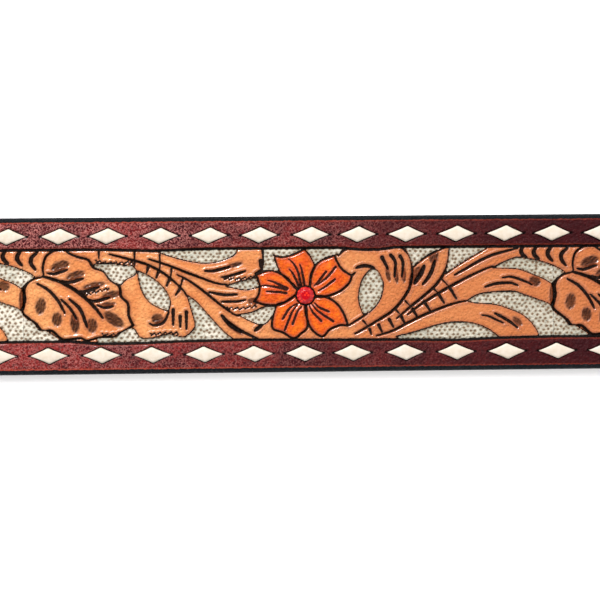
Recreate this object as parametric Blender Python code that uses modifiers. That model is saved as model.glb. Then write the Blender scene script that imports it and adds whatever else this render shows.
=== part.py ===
"""A western tooled belt, laid flat and straight with its tooled side up.

The strap is one thick leather band. Its buckle end is folded back under itself round the
buckle's bar and held by two screws, with a keeper loop between the two layers. Five repeats
of a flower and scroll motif are tooled along it: the ground round the leaves is pressed down,
the flowers stand proud and each holds a cut stone. Two flat laces weave through lengthwise
slits in the borders and show as a row of diamonds.

Metres, +Z up, +X from the buckle to the tip. The origin is the centre of the bounding box's base.
"""

import math

import bmesh
import bpy
from mathutils import Matrix, Vector

# The strap
STRAP_WIDTH = 0.038
STRAP_THICKNESS = 0.0036
EDGE_CHAMFER = 0.0008
GAP = 0.0003

# Lengths along the strap
BAR_TO_TOOLING = 0.095
MOTIF_LENGTH = 0.129
MOTIF_COUNT = 5
TOOLING_TO_TIP = 0.2
TIP_ROUNDING = 0.03

# The tooling
PANEL_WIDTH = 0.0224
FLOWER_SHARE = 0.5287
GROUND_DEPTH = 0.00055
FLOWER_RISE = 0.0003
FLOWER_REACH = 0.0116
BORDER_CUT_WIDTH = 0.0004
BORDER_CUT_DEPTH = 0.0003

# The laces and their slits. A lace's place is a share of its border's width, from the panel.
LACE_PLACE = 0.41
LACE_THICKNESS = 0.0009
LACE_RISE = 0.0002
SLIT_LENGTH = 0.0094
SLIT_OPENING = 0.0043
SLIT_CLEARANCE = 0.0002
SLIT_END_CLEARANCE = 0.00075
UPPER_PITCH = 0.01204
UPPER_PHASE = 0.0008
LOWER_PITCH = 0.01236
LOWER_PHASE = -0.0003
LACE_CHANNEL_WIDTH = 0.005
LACE_CHANNEL_DEPTH = 0.0013

# The stones
STONE_RADIUS = 0.0021
STONE_DROP = 0.00035
STONE_GIRDLE = 0.0007
STONE_CROWN = 0.0007
STONE_TABLE_SHARE = 0.56
STONE_FACETS = 8
STONE_SEAT_DEPTH = 0.0007

# The tip's holes
HOLE_COUNT = 5
HOLE_SPACING = 0.0254
HOLE_RADIUS = 0.0025
TIP_TO_HOLE = 0.0762

# The buckle. The prong's bend is a row of places, as shares of its length and of its lift.
WIRE_RADIUS = 0.00225
FRAME_LENGTH = 0.034
FRAME_SIDE_CLEARANCE = 0.001
FAR_CORNER_RADIUS = 0.008
PRONG_RADIUS = 0.0019
PRONG_OVERHANG = 0.003
PRONG_BEND = ((0, 0), (0.32, 0.62), (0.69, 1), (1, 1))
SLOT_SIDE_CLEARANCE = 0.001
SLOT_REACH = 0.007

# The fold, its screws and the keeper
SCREW_POST_RADIUS = 0.0025
SCREW_HEAD_RADIUS = 0.0046
SCREW_HEAD_THICKNESS = 0.0012
BAR_TO_FIRST_SCREW = 0.02
SCREW_MARGIN = 0.0006
KEEPER_WIDTH = 0.012
KEEPER_WALL = 0.0018
KEEPER_ROOM = 0.0047
KEEPER_SIDE_CLEARANCE = 0.0006
KEEPER_CORNER_RADIUS = 0.0025
FOLD_RAMP = 0.006
TURNBACK_MARGIN = 0.003
DESCENT_LENGTH = 0.026

# Facets
BEND_STEPS = 8
RAMP_STEPS = 6
CORNER_STEPS = 4
TIP_STEPS = 8
HOLE_SIDES = 12
LENS_STEPS = 3
CUTTER_REACH = 0.002

# Pressed-down ground between the leaves, each a lens between two tips that bows to both
# sides. Lengths are shares: u of the motif's length from its flower, v of the panel's
# width from its middle, and the bows, to the left of the way from tip one to tip two, of
# the panel's width.
GROUND_COLUMNS = ("name", "u1", "v1", "u2", "v2", "left_bow", "right_bow")
GROUNDS = (
    ("under_leaf", -0.39, -0.475, -0.312, -0.475, 0.07, -0.01),
    ("beside_leaf", -0.393, 0.32, -0.322, 0.25, 0.015, -0.14),
    ("in_left_curl", -0.312, 0.235, -0.258, -0.15, 0.125, -0.085),
    ("below_left_curl", -0.219, -0.05, -0.146, -0.47, -0.01, -0.19),
    ("above_long_scroll", -0.268, 0.468, -0.134, 0.472, 0.0, -0.125),
    ("between_scrolls", -0.144, 0.103, -0.094, 0.13, 0.035, -0.045),
    ("under_scrolls", -0.127, -0.213, -0.062, -0.16, 0.01, -0.115),
    ("left_of_top_petal", -0.074, 0.29, -0.02, 0.47, 0.09, 0.0),
    ("right_of_top_petal", 0.02, 0.33, 0.07, 0.475, 0.09, 0.0),
    ("in_right_curl", 0.13, 0.255, 0.111, -0.215, 0.13, -0.105),
    ("beside_pod", 0.205, 0.3, 0.25, 0.475, 0.12, -0.01),
    ("above_scroll", 0.267, 0.235, 0.34, 0.47, 0.16, -0.01),
    ("under_low_scroll", 0.175, -0.47, 0.365, -0.475, 0.15, 0.0),
    ("between_low_scrolls", 0.31, -0.085, 0.458, -0.47, 0.23, 0.08),
    ("under_grooved_stem", 0.352, 0.262, 0.465, 0.13, 0.15, 0.045),
)

# The petals: the way each points in degrees, and its reach and half spread as shares of
# the flower's reach and in degrees. A notch follows each petal, as a share of the reach.
PETAL_COLUMNS = ("direction", "reach", "half_spread", "notch_direction", "notch_reach")
PETALS = (
    (37, 1.0, 16, 72, 0.64),
    (111, 0.94, 19, 139, 0.7),
    (173, 1.04, 15, 202, 0.64),
    (240, 0.95, 15, 275, 0.67),
    (308, 1.0, 16, 351, 0.38),
)
PETAL_END_DIP = 0.92

# The laces' middle lines, from the strap's
LACE_OFFSET = PANEL_WIDTH / 2 + LACE_PLACE * (STRAP_WIDTH - PANEL_WIDTH) / 2

# Levels, worked out from the floor up
FLAT_LEVEL = STRAP_THICKNESS / 2
UNDER_LEVEL = SCREW_HEAD_THICKNESS + GAP + STRAP_THICKNESS / 2
CLAMPED_LEVEL = UNDER_LEVEL + STRAP_THICKNESS + GAP
KEEPER_LEVEL = UNDER_LEVEL + STRAP_THICKNESS + KEEPER_WALL + 2 * GAP
BEND_RADIUS = WIRE_RADIUS + GAP + STRAP_THICKNESS / 2
BAR_LEVEL = UNDER_LEVEL + BEND_RADIUS
TOP_OF_BEND = BAR_LEVEL + BEND_RADIUS

# Places along the strap, from the buckle's bar
SCREW_FLAT = SCREW_HEAD_RADIUS + SCREW_MARGIN
FIRST_RAMP_END = BAR_TO_FIRST_SCREW - SCREW_FLAT
KEEPER_START = BAR_TO_FIRST_SCREW + SCREW_FLAT + FOLD_RAMP
KEEPER_END = KEEPER_START + KEEPER_WIDTH + 2 * GAP
BAR_TO_SECOND_SCREW = KEEPER_END + FOLD_RAMP + SCREW_FLAT
TURNBACK_END = BAR_TO_SECOND_SCREW + SCREW_FLAT + TURNBACK_MARGIN
DESCENT_START = TURNBACK_END + GAP
BAR_TO_TIP = BAR_TO_TOOLING + MOTIF_COUNT * MOTIF_LENGTH + TOOLING_TO_TIP

# The buckle hangs from its bar and its far side rests on the floor
BUCKLE_TILT = math.asin((BAR_LEVEL - WIRE_RADIUS) / FRAME_LENGTH)
PRONG_LIFT = WIRE_RADIUS + PRONG_RADIUS + GAP
BUCKLE_REACH = FRAME_LENGTH * math.cos(BUCKLE_TILT) + WIRE_RADIUS
PRONG_REACH = (FRAME_LENGTH + PRONG_OVERHANG) * math.cos(BUCKLE_TILT) + (
    PRONG_LIFT + PRONG_RADIUS
) * math.sin(BUCKLE_TILT)
OVERALL_LENGTH = BAR_TO_TIP + max(BUCKLE_REACH, PRONG_REACH)
TIP_X = OVERALL_LENGTH / 2
BAR_X = TIP_X - BAR_TO_TIP
TOOLING_X = BAR_X + BAR_TO_TOOLING
TOOLING_LENGTH = MOTIF_COUNT * MOTIF_LENGTH

LEATHER_BURGUNDY = (0.16, 0.03, 0.025, 1)
LACE_CREAM = (0.9, 0.86, 0.74, 1)
STONE_RED = (0.62, 0.01, 0.03, 1)
BRIGHT_METAL = (0.72, 0.71, 0.68, 1)


def start_clean():
    """Removes what the file holds and makes one collection for the belt and one for its cutters."""
    for old in list(bpy.data.objects):
        bpy.data.objects.remove(old)
    belt = bpy.data.collections.new("western_tooled_belt")
    cutters = bpy.data.collections.new("cutters")
    for made in (belt, cutters):
        bpy.context.scene.collection.children.link(made)
    return belt, cutters


def finish(name, colour, roughness, metallic=0.0):
    """A plain surface finish."""
    made = bpy.data.materials.new(name)
    made.use_nodes = True
    surface = made.node_tree.nodes["Principled BSDF"]
    surface.inputs["Base Color"].default_value = colour
    surface.inputs["Roughness"].default_value = roughness
    surface.inputs["Metallic"].default_value = metallic
    made.diffuse_color = colour
    return made


def object_from_bmesh(name, bm, collection):
    """Keeps a finished bmesh as an object, with its faces pointing out."""
    bmesh.ops.recalc_face_normals(bm, faces=bm.faces)
    mesh = bpy.data.meshes.new(name)
    bm.to_mesh(mesh)
    bm.free()
    made = bpy.data.objects.new(name, mesh)
    collection.objects.link(made)
    return made


def mesh_from_curve(name, curve, collection, matrix=Matrix.Identity(4)):
    """Turns a curve object into a welded mesh object with the given placement."""
    curve.matrix_world = matrix
    bpy.context.view_layer.update()
    evaluated = curve.evaluated_get(bpy.context.evaluated_depsgraph_get())
    mesh = bpy.data.meshes.new_from_object(evaluated)
    bm = bmesh.new()
    bm.from_mesh(mesh)
    bmesh.ops.remove_doubles(bm, verts=bm.verts, dist=0.00001)
    bm.transform(curve.matrix_world)
    bpy.data.objects.remove(curve)
    return object_from_bmesh(name, bm, collection)


def poly_curve(name, lines, collection, dimensions="3D", cyclic=False):
    """A curve object of straight-sided splines through the given lists of points."""
    data = bpy.data.curves.new(name, "CURVE")
    data.dimensions = dimensions
    for line in lines:
        spline = data.splines.new("POLY")
        spline.points.add(len(line) - 1)
        for point, place in zip(spline.points, line):
            point.co = (*Vector(place).to_3d(), 1)
        spline.use_cyclic_u = cyclic
    made = bpy.data.objects.new(name, data)
    collection.objects.link(made)
    return made


def flat_prisms(name, outlines, low, high, collection):
    """Closed outlines in plan, each raised into an upright prism between two levels."""
    curve = poly_curve(name, outlines, collection, dimensions="2D", cyclic=True)
    curve.data.fill_mode = "BOTH"
    curve.data.extrude = (high - low) / 2
    return mesh_from_curve(name, curve, collection, Matrix.Translation((0, 0, (low + high) / 2)))


def box(name, low, high, collection):
    """A box between two corners."""
    low, high = Vector(low), Vector(high)
    bm = bmesh.new()
    bmesh.ops.create_cube(bm, size=1)
    bmesh.ops.scale(bm, vec=high - low, verts=bm.verts)
    bmesh.ops.translate(bm, vec=(low + high) / 2, verts=bm.verts)
    return object_from_bmesh(name, bm, collection)


def upright_cylinders(name, centres, radius, low, high, sides, collection):
    """Upright cylinders of one radius at several places, as one cutter."""
    bm = bmesh.new()
    for x, y in centres:
        place = Matrix.Translation((x, y, (low + high) / 2))
        bmesh.ops.create_cone(
            bm,
            cap_ends=True,
            segments=sides,
            radius1=radius,
            radius2=radius,
            depth=high - low,
            matrix=place,
        )
    return object_from_bmesh(name, bm, collection)


def combine(target, tool, operation="DIFFERENCE"):
    """Cuts or joins one mesh object with another, which is kept out of sight."""
    tool.hide_render = True
    tool.display_type = "WIRE"
    modifier = target.modifiers.new(tool.name, "BOOLEAN")
    modifier.operation = operation
    modifier.object = tool
    modifier.solver = "EXACT"


def turned(name, profile, sides, collection):
    """A solid turned about Z from a profile of (radius, height), from its bottom middle to its top."""
    mesh = bpy.data.meshes.new(name)
    points = [(radius, 0, height) for radius, height in reversed(profile)]
    mesh.from_pydata(points, [(i, i + 1) for i in range(len(points) - 1)], [])
    made = bpy.data.objects.new(name, mesh)
    collection.objects.link(made)
    screw = made.modifiers.new("turn", "SCREW")
    screw.steps = screw.render_steps = sides
    screw.use_merge_vertices = True
    screw.merge_threshold = 0.00001
    return made


def smooth_step(share):
    """A share from 0 to 1 that starts and ends gently."""
    return share * share * (3 - 2 * share)


def ramp(start, end):
    """Points of a soft slope between two (distance, level) places, both ends included."""
    points = []
    for i in range(RAMP_STEPS + 1):
        share = i / RAMP_STEPS
        distance = start[0] + (end[0] - start[0]) * share
        points.append((distance, start[1] + (end[1] - start[1]) * smooth_step(share)))
    return points


def strap_line():
    """The strap's middle line from the turned-back end round the bar to the tip, as (distance, level)."""
    line = [(TURNBACK_END, UNDER_LEVEL)]
    for i in range(BEND_STEPS + 1):
        angle = math.pi * (1.5 - i / BEND_STEPS)
        line.append((BEND_RADIUS * math.cos(angle), BAR_LEVEL + BEND_RADIUS * math.sin(angle)))
    line += ramp((0, TOP_OF_BEND), (FIRST_RAMP_END, CLAMPED_LEVEL))[1:]
    line += ramp((KEEPER_START - FOLD_RAMP, CLAMPED_LEVEL), (KEEPER_START, KEEPER_LEVEL))
    line += ramp((KEEPER_END, KEEPER_LEVEL), (KEEPER_END + FOLD_RAMP, CLAMPED_LEVEL))
    line += ramp((DESCENT_START, CLAMPED_LEVEL), (DESCENT_START + DESCENT_LENGTH, FLAT_LEVEL))
    line.append((BAR_TO_TIP, FLAT_LEVEL))
    return line


def strap_section():
    """The strap's cross-section with its four edges bevelled, across its width and thickness."""
    half, rise, cut = STRAP_WIDTH / 2, STRAP_THICKNESS / 2, EDGE_CHAMFER
    corner = [(half, rise - cut), (half - cut, rise)]
    top = corner + [(-x, y) for x, y in reversed(corner)]
    return top + [(-x, -y) for x, y in top]


def plain_strap(collection, cutters):
    """The folded strap before it is cut: its section swept along its middle line."""
    section = poly_curve("strap_section", [strap_section()], cutters, "2D", cyclic=True)
    line = [(BAR_X + distance, 0, level) for distance, level in strap_line()]
    path = poly_curve("strap_line", [line], cutters)
    path.data.twist_mode = "MINIMUM"
    path.data.bevel_mode = "OBJECT"
    path.data.bevel_object = section
    path.data.use_fill_caps = True
    strap = mesh_from_curve("tooled_strap", path, collection)
    bpy.data.objects.remove(section)
    return strap


def tip_cutter(cutters):
    """What is trimmed off the two corners of the tip, which ends in a soft point."""
    outlines = []
    straight_end = TIP_X - TIP_ROUNDING
    for side in (1, -1):
        outline = []
        for i in range(TIP_STEPS + 1):
            angle = math.pi / 2 * i / TIP_STEPS
            across = STRAP_WIDTH / 2 * math.cos(angle) ** 0.8
            outline.append((straight_end + TIP_ROUNDING * math.sin(angle), side * across))
        far, wide = TIP_X + CUTTER_REACH, side * (STRAP_WIDTH / 2 + CUTTER_REACH)
        outline += [(far, 0), (far, wide), (straight_end, wide)]
        outlines.append(outline)
    return [
        flat_prisms(
            f"tip_cutter_{i}",
            [outline],
            -CUTTER_REACH,
            STRAP_THICKNESS + CUTTER_REACH,
            cutters,
        )
        for i, outline in enumerate(outlines)
    ]


def flower_places():
    """The x of each motif's flower."""
    first = TOOLING_X + MOTIF_LENGTH * FLOWER_SHARE
    return [first + i * MOTIF_LENGTH for i in range(MOTIF_COUNT)]


def stitch_places(pitch, phase):
    """The x of each diamond of a lace row, counted both ways from the middle flower."""
    middle = flower_places()[MOTIF_COUNT // 2] + phase
    margin = SLIT_LENGTH / 2 + SLIT_OPENING / 2
    before = int((middle - TOOLING_X - margin) / pitch)
    after = int((TOOLING_X + TOOLING_LENGTH - middle - margin) / pitch)
    return [middle + i * pitch for i in range(-before, after + 1)]


def lens(tip_one, tip_two, left_bow, right_bow):
    """A closed outline between two tips whose two sides bow by the given amounts to the left of the way."""
    one, two = Vector(tip_one), Vector(tip_two)
    way = two - one
    left = Vector((-way.y, way.x)).normalized()
    outline = []
    for bow, shares in ((left_bow, range(LENS_STEPS + 1)), (right_bow, range(LENS_STEPS + 1, 0, -1))):
        for i in shares:
            share = i / (LENS_STEPS + 1)
            outline.append(one + way * share + left * bow * math.sin(math.pi * share))
    return outline


def ground_outlines():
    """The outlines of all pressed-down ground, for every motif."""
    outlines = []
    for flower_x in flower_places():
        for row in GROUNDS:
            ground = dict(zip(GROUND_COLUMNS, row))
            ends = [
                (flower_x + ground[f"u{i}"] * MOTIF_LENGTH, ground[f"v{i}"] * PANEL_WIDTH)
                for i in (1, 2)
            ]
            bows = ground["left_bow"] * PANEL_WIDTH, ground["right_bow"] * PANEL_WIDTH
            outlines.append(lens(*ends, *bows))
    return outlines


def flower_outline(centre_x):
    """A five-petalled outline whose petals end in two corners with a shallow dip between."""
    outline = []
    for row in PETALS:
        petal = dict(zip(PETAL_COLUMNS, row))
        reach = petal["reach"] * FLOWER_REACH
        turns = (
            (petal["direction"] - petal["half_spread"], reach),
            (petal["direction"], reach * PETAL_END_DIP),
            (petal["direction"] + petal["half_spread"], reach),
            (petal["notch_direction"], petal["notch_reach"] * FLOWER_REACH),
        )
        for degrees, distance in turns:
            angle = math.radians(degrees)
            outline.append(
                (centre_x + distance * math.cos(angle), distance * math.sin(angle) - STONE_DROP)
            )
    return outline


def slit_cutter(name, places, across, cutters):
    """Diamond openings that the lace rises through, one for each stitch."""
    bm = bmesh.new()
    height = STRAP_THICKNESS + 2 * CUTTER_REACH
    for x in places:
        place = Matrix.Translation((x, across, STRAP_THICKNESS / 2))
        shape = Matrix.Diagonal((SLIT_LENGTH / 2, SLIT_OPENING / 2, 1, 1))
        bmesh.ops.create_cone(
            bm,
            cap_ends=True,
            segments=4,
            radius1=1,
            radius2=1,
            depth=height,
            matrix=place @ shape,
        )
    return object_from_bmesh(name, bm, cutters)


def channel_cutter(name, places, across, cutters):
    """The shallow channel on the back that the lace's hidden runs lie in."""
    reach = SLIT_LENGTH / 2 + SLIT_OPENING / 2
    return box(
        name,
        (places[0] - reach, across - LACE_CHANNEL_WIDTH / 2, -CUTTER_REACH),
        (places[-1] + reach, across + LACE_CHANNEL_WIDTH / 2, LACE_CHANNEL_DEPTH),
        cutters,
    )


def border_cutter(side, cutters):
    """The cut line between the tooled panel and one border."""
    middle = side * PANEL_WIDTH / 2
    return box(
        f"border_cutter_{'upper' if side > 0 else 'lower'}",
        (TOOLING_X, middle - BORDER_CUT_WIDTH / 2, STRAP_THICKNESS - BORDER_CUT_DEPTH),
        (TOOLING_X + TOOLING_LENGTH, middle + BORDER_CUT_WIDTH / 2, STRAP_THICKNESS + CUTTER_REACH),
        cutters,
    )


def lace_station(x, level_front, level_back, back_shift, centre, across):
    """Four corners of the lace at one place: its front face's two and its back face's two."""
    corners = []
    for place, level in ((x, level_front), (x + back_shift, level_back)):
        room = SLIT_OPENING / 2 * (1 - abs(place - centre) / (SLIT_LENGTH / 2))
        half = room - SLIT_CLEARANCE
        corners += [Vector((place, across + half, level)), Vector((place, across - half, level))]
    return [corners[0], corners[1], corners[3], corners[2]]


def lace_stations(places, across):
    """The lace's corners along its way: up through each slit, flat across it, down, and on to the next."""
    low = LACE_CHANNEL_DEPTH - GAP - LACE_THICKNESS
    top = STRAP_THICKNESS + LACE_RISE
    reach = SLIT_LENGTH / 2 - SLIT_END_CLEARANCE
    stations = []
    for x in places:
        start, end = x - reach, x + reach
        stations += [
            lace_station(start, low + LACE_THICKNESS, low, LACE_THICKNESS, x, across),
            lace_station(start, top, top - LACE_THICKNESS, LACE_THICKNESS, x, across),
            lace_station(x, top, top - LACE_THICKNESS, 0, x, across),
            lace_station(end, top, top - LACE_THICKNESS, -LACE_THICKNESS, x, across),
            lace_station(end, low + LACE_THICKNESS, low, -LACE_THICKNESS, x, across),
        ]
    return stations


def lace(name, places, across, collection):
    """One flat lace, woven through every slit of its row."""
    bm = bmesh.new()
    rings = [[bm.verts.new(corner) for corner in station] for station in lace_stations(places, across)]
    for one, two in zip(rings, rings[1:]):
        for i in range(4):
            j = (i + 1) % 4
            bm.faces.new((one[i], one[j], two[j], two[i]))
    bm.faces.new(rings[0])
    bm.faces.new(rings[-1])
    return object_from_bmesh(name, bm, collection)


def stone(name, x, collection):
    """A round cut stone with a flat back, a girdle, a ring of facets and a table."""
    base = STRAP_THICKNESS + FLOWER_RISE - STONE_SEAT_DEPTH + GAP
    girdle = base + STONE_GIRDLE
    crown = girdle + STONE_CROWN
    profile = [
        (0, base),
        (STONE_RADIUS, base),
        (STONE_RADIUS, girdle),
        (STONE_RADIUS * STONE_TABLE_SHARE, crown),
        (0, crown),
    ]
    made = turned(name, profile, STONE_FACETS, collection)
    made.location = (x, -STONE_DROP, 0)
    return made


def screw_profile():
    """Half the outline of a two-headed screw, from the floor up."""
    top = CLAMPED_LEVEL + STRAP_THICKNESS / 2 + GAP
    rim = SCREW_HEAD_THICKNESS / 4
    return [
        (0, 0),
        (SCREW_HEAD_RADIUS, 0),
        (SCREW_HEAD_RADIUS, SCREW_HEAD_THICKNESS),
        (SCREW_POST_RADIUS, SCREW_HEAD_THICKNESS),
        (SCREW_POST_RADIUS, top),
        (SCREW_HEAD_RADIUS, top),
        (SCREW_HEAD_RADIUS, top + SCREW_HEAD_THICKNESS - rim),
        (SCREW_HEAD_RADIUS - rim, top + SCREW_HEAD_THICKNESS),
        (0, top + SCREW_HEAD_THICKNESS),
    ]


def rounded_rectangle(low, high, radii):
    """A closed outline between two corners, with its own radius at each corner from the low one round."""
    (x0, y0), (x1, y1) = low, high
    corners = ((x0, y0, 1, 1, 180), (x1, y0, -1, 1, 270), (x1, y1, -1, -1, 0), (x0, y1, 1, -1, 90))
    outline = []
    for (x, y, way_x, way_y, start), radius in zip(corners, radii):
        middle = Vector((x + way_x * radius, y + way_y * radius))
        for i in range(CORNER_STEPS + 1):
            angle = math.radians(start + 90 * i / CORNER_STEPS)
            outline.append(middle + radius * Vector((math.cos(angle), math.sin(angle))))
    return outline


def keeper_loop(collection):
    """The leather loop round the strap that the belt's tip is tucked into."""
    inner_half = STRAP_WIDTH / 2 + KEEPER_SIDE_CLEARANCE
    inner_low = UNDER_LEVEL + STRAP_THICKNESS / 2 + GAP + KEEPER_WALL
    inner_high = KEEPER_LEVEL + STRAP_THICKNESS / 2 + KEEPER_ROOM
    outer_radius = KEEPER_CORNER_RADIUS
    inner_radius = KEEPER_CORNER_RADIUS - KEEPER_WALL
    outlines = [
        rounded_rectangle(
            (-inner_half - KEEPER_WALL, inner_low - KEEPER_WALL),
            (inner_half + KEEPER_WALL, inner_high + KEEPER_WALL),
            [outer_radius] * 4,
        ),
        rounded_rectangle((-inner_half, inner_low), (inner_half, inner_high), [inner_radius] * 4),
    ]
    curve = poly_curve("keeper_loop", outlines, collection, "2D", cyclic=True)
    curve.data.fill_mode = "BOTH"
    curve.data.extrude = KEEPER_WIDTH / 2
    upright = Matrix(((0, 0, 1, 0), (1, 0, 0, 0), (0, 1, 0, 0), (0, 0, 0, 1)))
    place = Matrix.Translation((BAR_X + (KEEPER_START + KEEPER_END) / 2, 0, 0))
    return mesh_from_curve("keeper_loop", curve, collection, place @ upright)


def wire_solid(name, line, radius, cyclic, matrix, collection):
    """A round wire along a line, as a closed mesh."""
    curve = poly_curve(name, [line], collection, cyclic=cyclic)
    curve.data.bevel_depth = radius
    curve.data.bevel_resolution = 2
    curve.data.use_fill_caps = True
    return mesh_from_curve(name, curve, collection, matrix)


def buckle(collection, cutters):
    """The plain one-piece buckle: a wire frame on its bar, with its prong lying on the far side."""
    half = STRAP_WIDTH / 2 + FRAME_SIDE_CLEARANCE + WIRE_RADIUS
    bar_corner = WIRE_RADIUS + FRAME_SIDE_CLEARANCE - GAP
    radii = (FAR_CORNER_RADIUS, bar_corner, bar_corner, FAR_CORNER_RADIUS)
    outline = rounded_rectangle((-FRAME_LENGTH, -half), (0, half), radii)
    frame_line = [point.to_3d() for point in outline]
    place = Matrix.Translation((BAR_X, 0, BAR_LEVEL)) @ Matrix.Rotation(-BUCKLE_TILT, 4, "Y")
    frame = wire_solid("buckle", frame_line, WIRE_RADIUS, True, place, collection)
    prong_end = FRAME_LENGTH + PRONG_OVERHANG
    prong_line = [(-along * prong_end, 0, rise * PRONG_LIFT) for along, rise in PRONG_BEND]
    prong = wire_solid("prong", prong_line, PRONG_RADIUS, False, place, cutters)
    combine(frame, prong, "UNION")
    return frame


def slot_outline(start, end, half):
    """The prong's slot in plan: open at its start, with a half-round end."""
    outline = [(start, half), (start, -half)]
    for i in range(2 * CORNER_STEPS + 1):
        angle = math.pi * (i / (2 * CORNER_STEPS) - 0.5)
        outline.append((end - half + half * math.cos(angle), half * math.sin(angle)))
    return outline


def cut_strap(strap, cutters):
    """Cuts the fold's slot and holes, the tip, the tooling, the lace slits and the stones' seats."""
    above = STRAP_THICKNESS + CUTTER_REACH
    slot_half = PRONG_RADIUS + SLOT_SIDE_CLEARANCE
    slot = flat_prisms(
        "prong_slot_cutter",
        [slot_outline(BAR_X - BEND_RADIUS - STRAP_THICKNESS, BAR_X + SLOT_REACH, slot_half)],
        -CUTTER_REACH,
        TOP_OF_BEND + STRAP_THICKNESS,
        cutters,
    )
    combine(strap, slot)
    screws = [(BAR_X + distance, 0) for distance in (BAR_TO_FIRST_SCREW, BAR_TO_SECOND_SCREW)]
    post_hole = SCREW_POST_RADIUS + GAP
    high = CLAMPED_LEVEL + above
    screw_holes = upright_cylinders(
        "screw_hole_cutter", screws, post_hole, -CUTTER_REACH, high, HOLE_SIDES, cutters
    )
    combine(strap, screw_holes)
    for cutter in tip_cutter(cutters):
        combine(strap, cutter)
    holes = [(TIP_X - TIP_TO_HOLE - i * HOLE_SPACING, 0) for i in range(HOLE_COUNT)]
    belt_holes = upright_cylinders(
        "belt_hole_cutter", holes, HOLE_RADIUS, -CUTTER_REACH, above, HOLE_SIDES, cutters
    )
    combine(strap, belt_holes)
    ground = flat_prisms(
        "ground_cutter", ground_outlines(), STRAP_THICKNESS - GROUND_DEPTH, above, cutters
    )
    combine(strap, ground)
    for side in (1, -1):
        combine(strap, border_cutter(side, cutters))
    flowers = flat_prisms(
        "flower_relief",
        [flower_outline(x) for x in flower_places()],
        STRAP_THICKNESS - 2 * GROUND_DEPTH,
        STRAP_THICKNESS + FLOWER_RISE,
        cutters,
    )
    combine(strap, flowers, "UNION")
    seats = upright_cylinders(
        "stone_seat_cutter",
        [(x, -STONE_DROP) for x in flower_places()],
        STONE_RADIUS + GAP,
        STRAP_THICKNESS + FLOWER_RISE - STONE_SEAT_DEPTH,
        above,
        HOLE_SIDES,
        cutters,
    )
    combine(strap, seats)


def build():
    """Makes every piece of the belt."""
    belt, cutters = start_clean()
    leather = finish("burgundy_leather", LEATHER_BURGUNDY, 0.5)
    lace_finish = finish("cream_lace", LACE_CREAM, 0.55)
    glass = finish("red_stone", STONE_RED, 0.08)
    metal = finish("bright_metal", BRIGHT_METAL, 0.25, 1.0)

    strap = plain_strap(belt, cutters)
    cut_strap(strap, cutters)
    made = [(strap, leather), (keeper_loop(belt), leather), (buckle(belt, cutters), metal)]

    rows = (
        ("upper", UPPER_PITCH, UPPER_PHASE, LACE_OFFSET),
        ("lower", LOWER_PITCH, LOWER_PHASE, -LACE_OFFSET),
    )
    for row, pitch, phase, across in rows:
        places = stitch_places(pitch, phase)
        combine(strap, slit_cutter(f"slit_cutter_{row}", places, across, cutters))
        combine(strap, channel_cutter(f"channel_cutter_{row}", places, across, cutters))
        made.append((lace(f"buckstitch_lace_{row}", places, across, belt), lace_finish))

    for i, x in enumerate(flower_places(), 1):
        made.append((stone(f"flower_stone_{i}", x, belt), glass))
    for i, distance in enumerate((BAR_TO_FIRST_SCREW, BAR_TO_SECOND_SCREW), 1):
        screw = turned(f"fold_screw_{i}", screw_profile(), HOLE_SIDES, belt)
        screw.location = (BAR_X + distance, 0, 0)
        made.append((screw, metal))
    for piece, surface in made:
        piece.data.materials.append(surface)


build()
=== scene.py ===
# %% [markdown]
# # A western tooled belt, dressed in Blender
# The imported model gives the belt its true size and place: a leather strap folded round its
# buckle, two woven laces, five red stones, a keeper and two screws. This lesson gives each of
# them the finish of the real thing. +X runs from the buckle to the tip, and +Z is up out of the
# tooled side. The model's lengths are in metres. The drawing and the sections are worked out in
# millimetres, and MM turns them into metres.

# %% Load the model
import math

import bpy
import numpy as np
from mathutils import Matrix, Vector


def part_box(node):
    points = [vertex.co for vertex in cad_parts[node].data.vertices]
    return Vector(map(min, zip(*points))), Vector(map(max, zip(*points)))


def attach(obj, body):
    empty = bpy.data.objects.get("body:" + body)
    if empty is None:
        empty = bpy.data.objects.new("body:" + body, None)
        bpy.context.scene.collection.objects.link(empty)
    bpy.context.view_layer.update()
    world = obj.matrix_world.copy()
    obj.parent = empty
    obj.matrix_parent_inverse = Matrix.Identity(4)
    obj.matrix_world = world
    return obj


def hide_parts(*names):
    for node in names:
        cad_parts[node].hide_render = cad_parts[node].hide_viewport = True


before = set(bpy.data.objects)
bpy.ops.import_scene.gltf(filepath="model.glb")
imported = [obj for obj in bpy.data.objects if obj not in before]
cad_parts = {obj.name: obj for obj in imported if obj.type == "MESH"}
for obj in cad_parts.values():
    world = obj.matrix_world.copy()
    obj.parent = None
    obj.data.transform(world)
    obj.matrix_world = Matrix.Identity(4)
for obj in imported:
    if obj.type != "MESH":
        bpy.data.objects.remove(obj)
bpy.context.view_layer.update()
print("nodes:", sorted(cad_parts))

# %% [markdown]
# ## Sizes read from the model
# Nothing here may drift from the solids, so what places the pieces is measured on them. The
# strap's tip is the highest X of its node, the stones mark the flowers, and the laces mark the
# borders. Only sizes that no box shows, such as the leather's thickness, are written out.

# %% Measure the model
MM = 0.001
strap_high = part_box("tooled_strap")[1]
STONES = [f"flower_stone_{i}" for i in range(1, 6)]


def middle_x(name):
    """The middle of a node's box along the belt."""
    low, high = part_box(name)
    return (low.x + high.x) / 2


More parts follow.
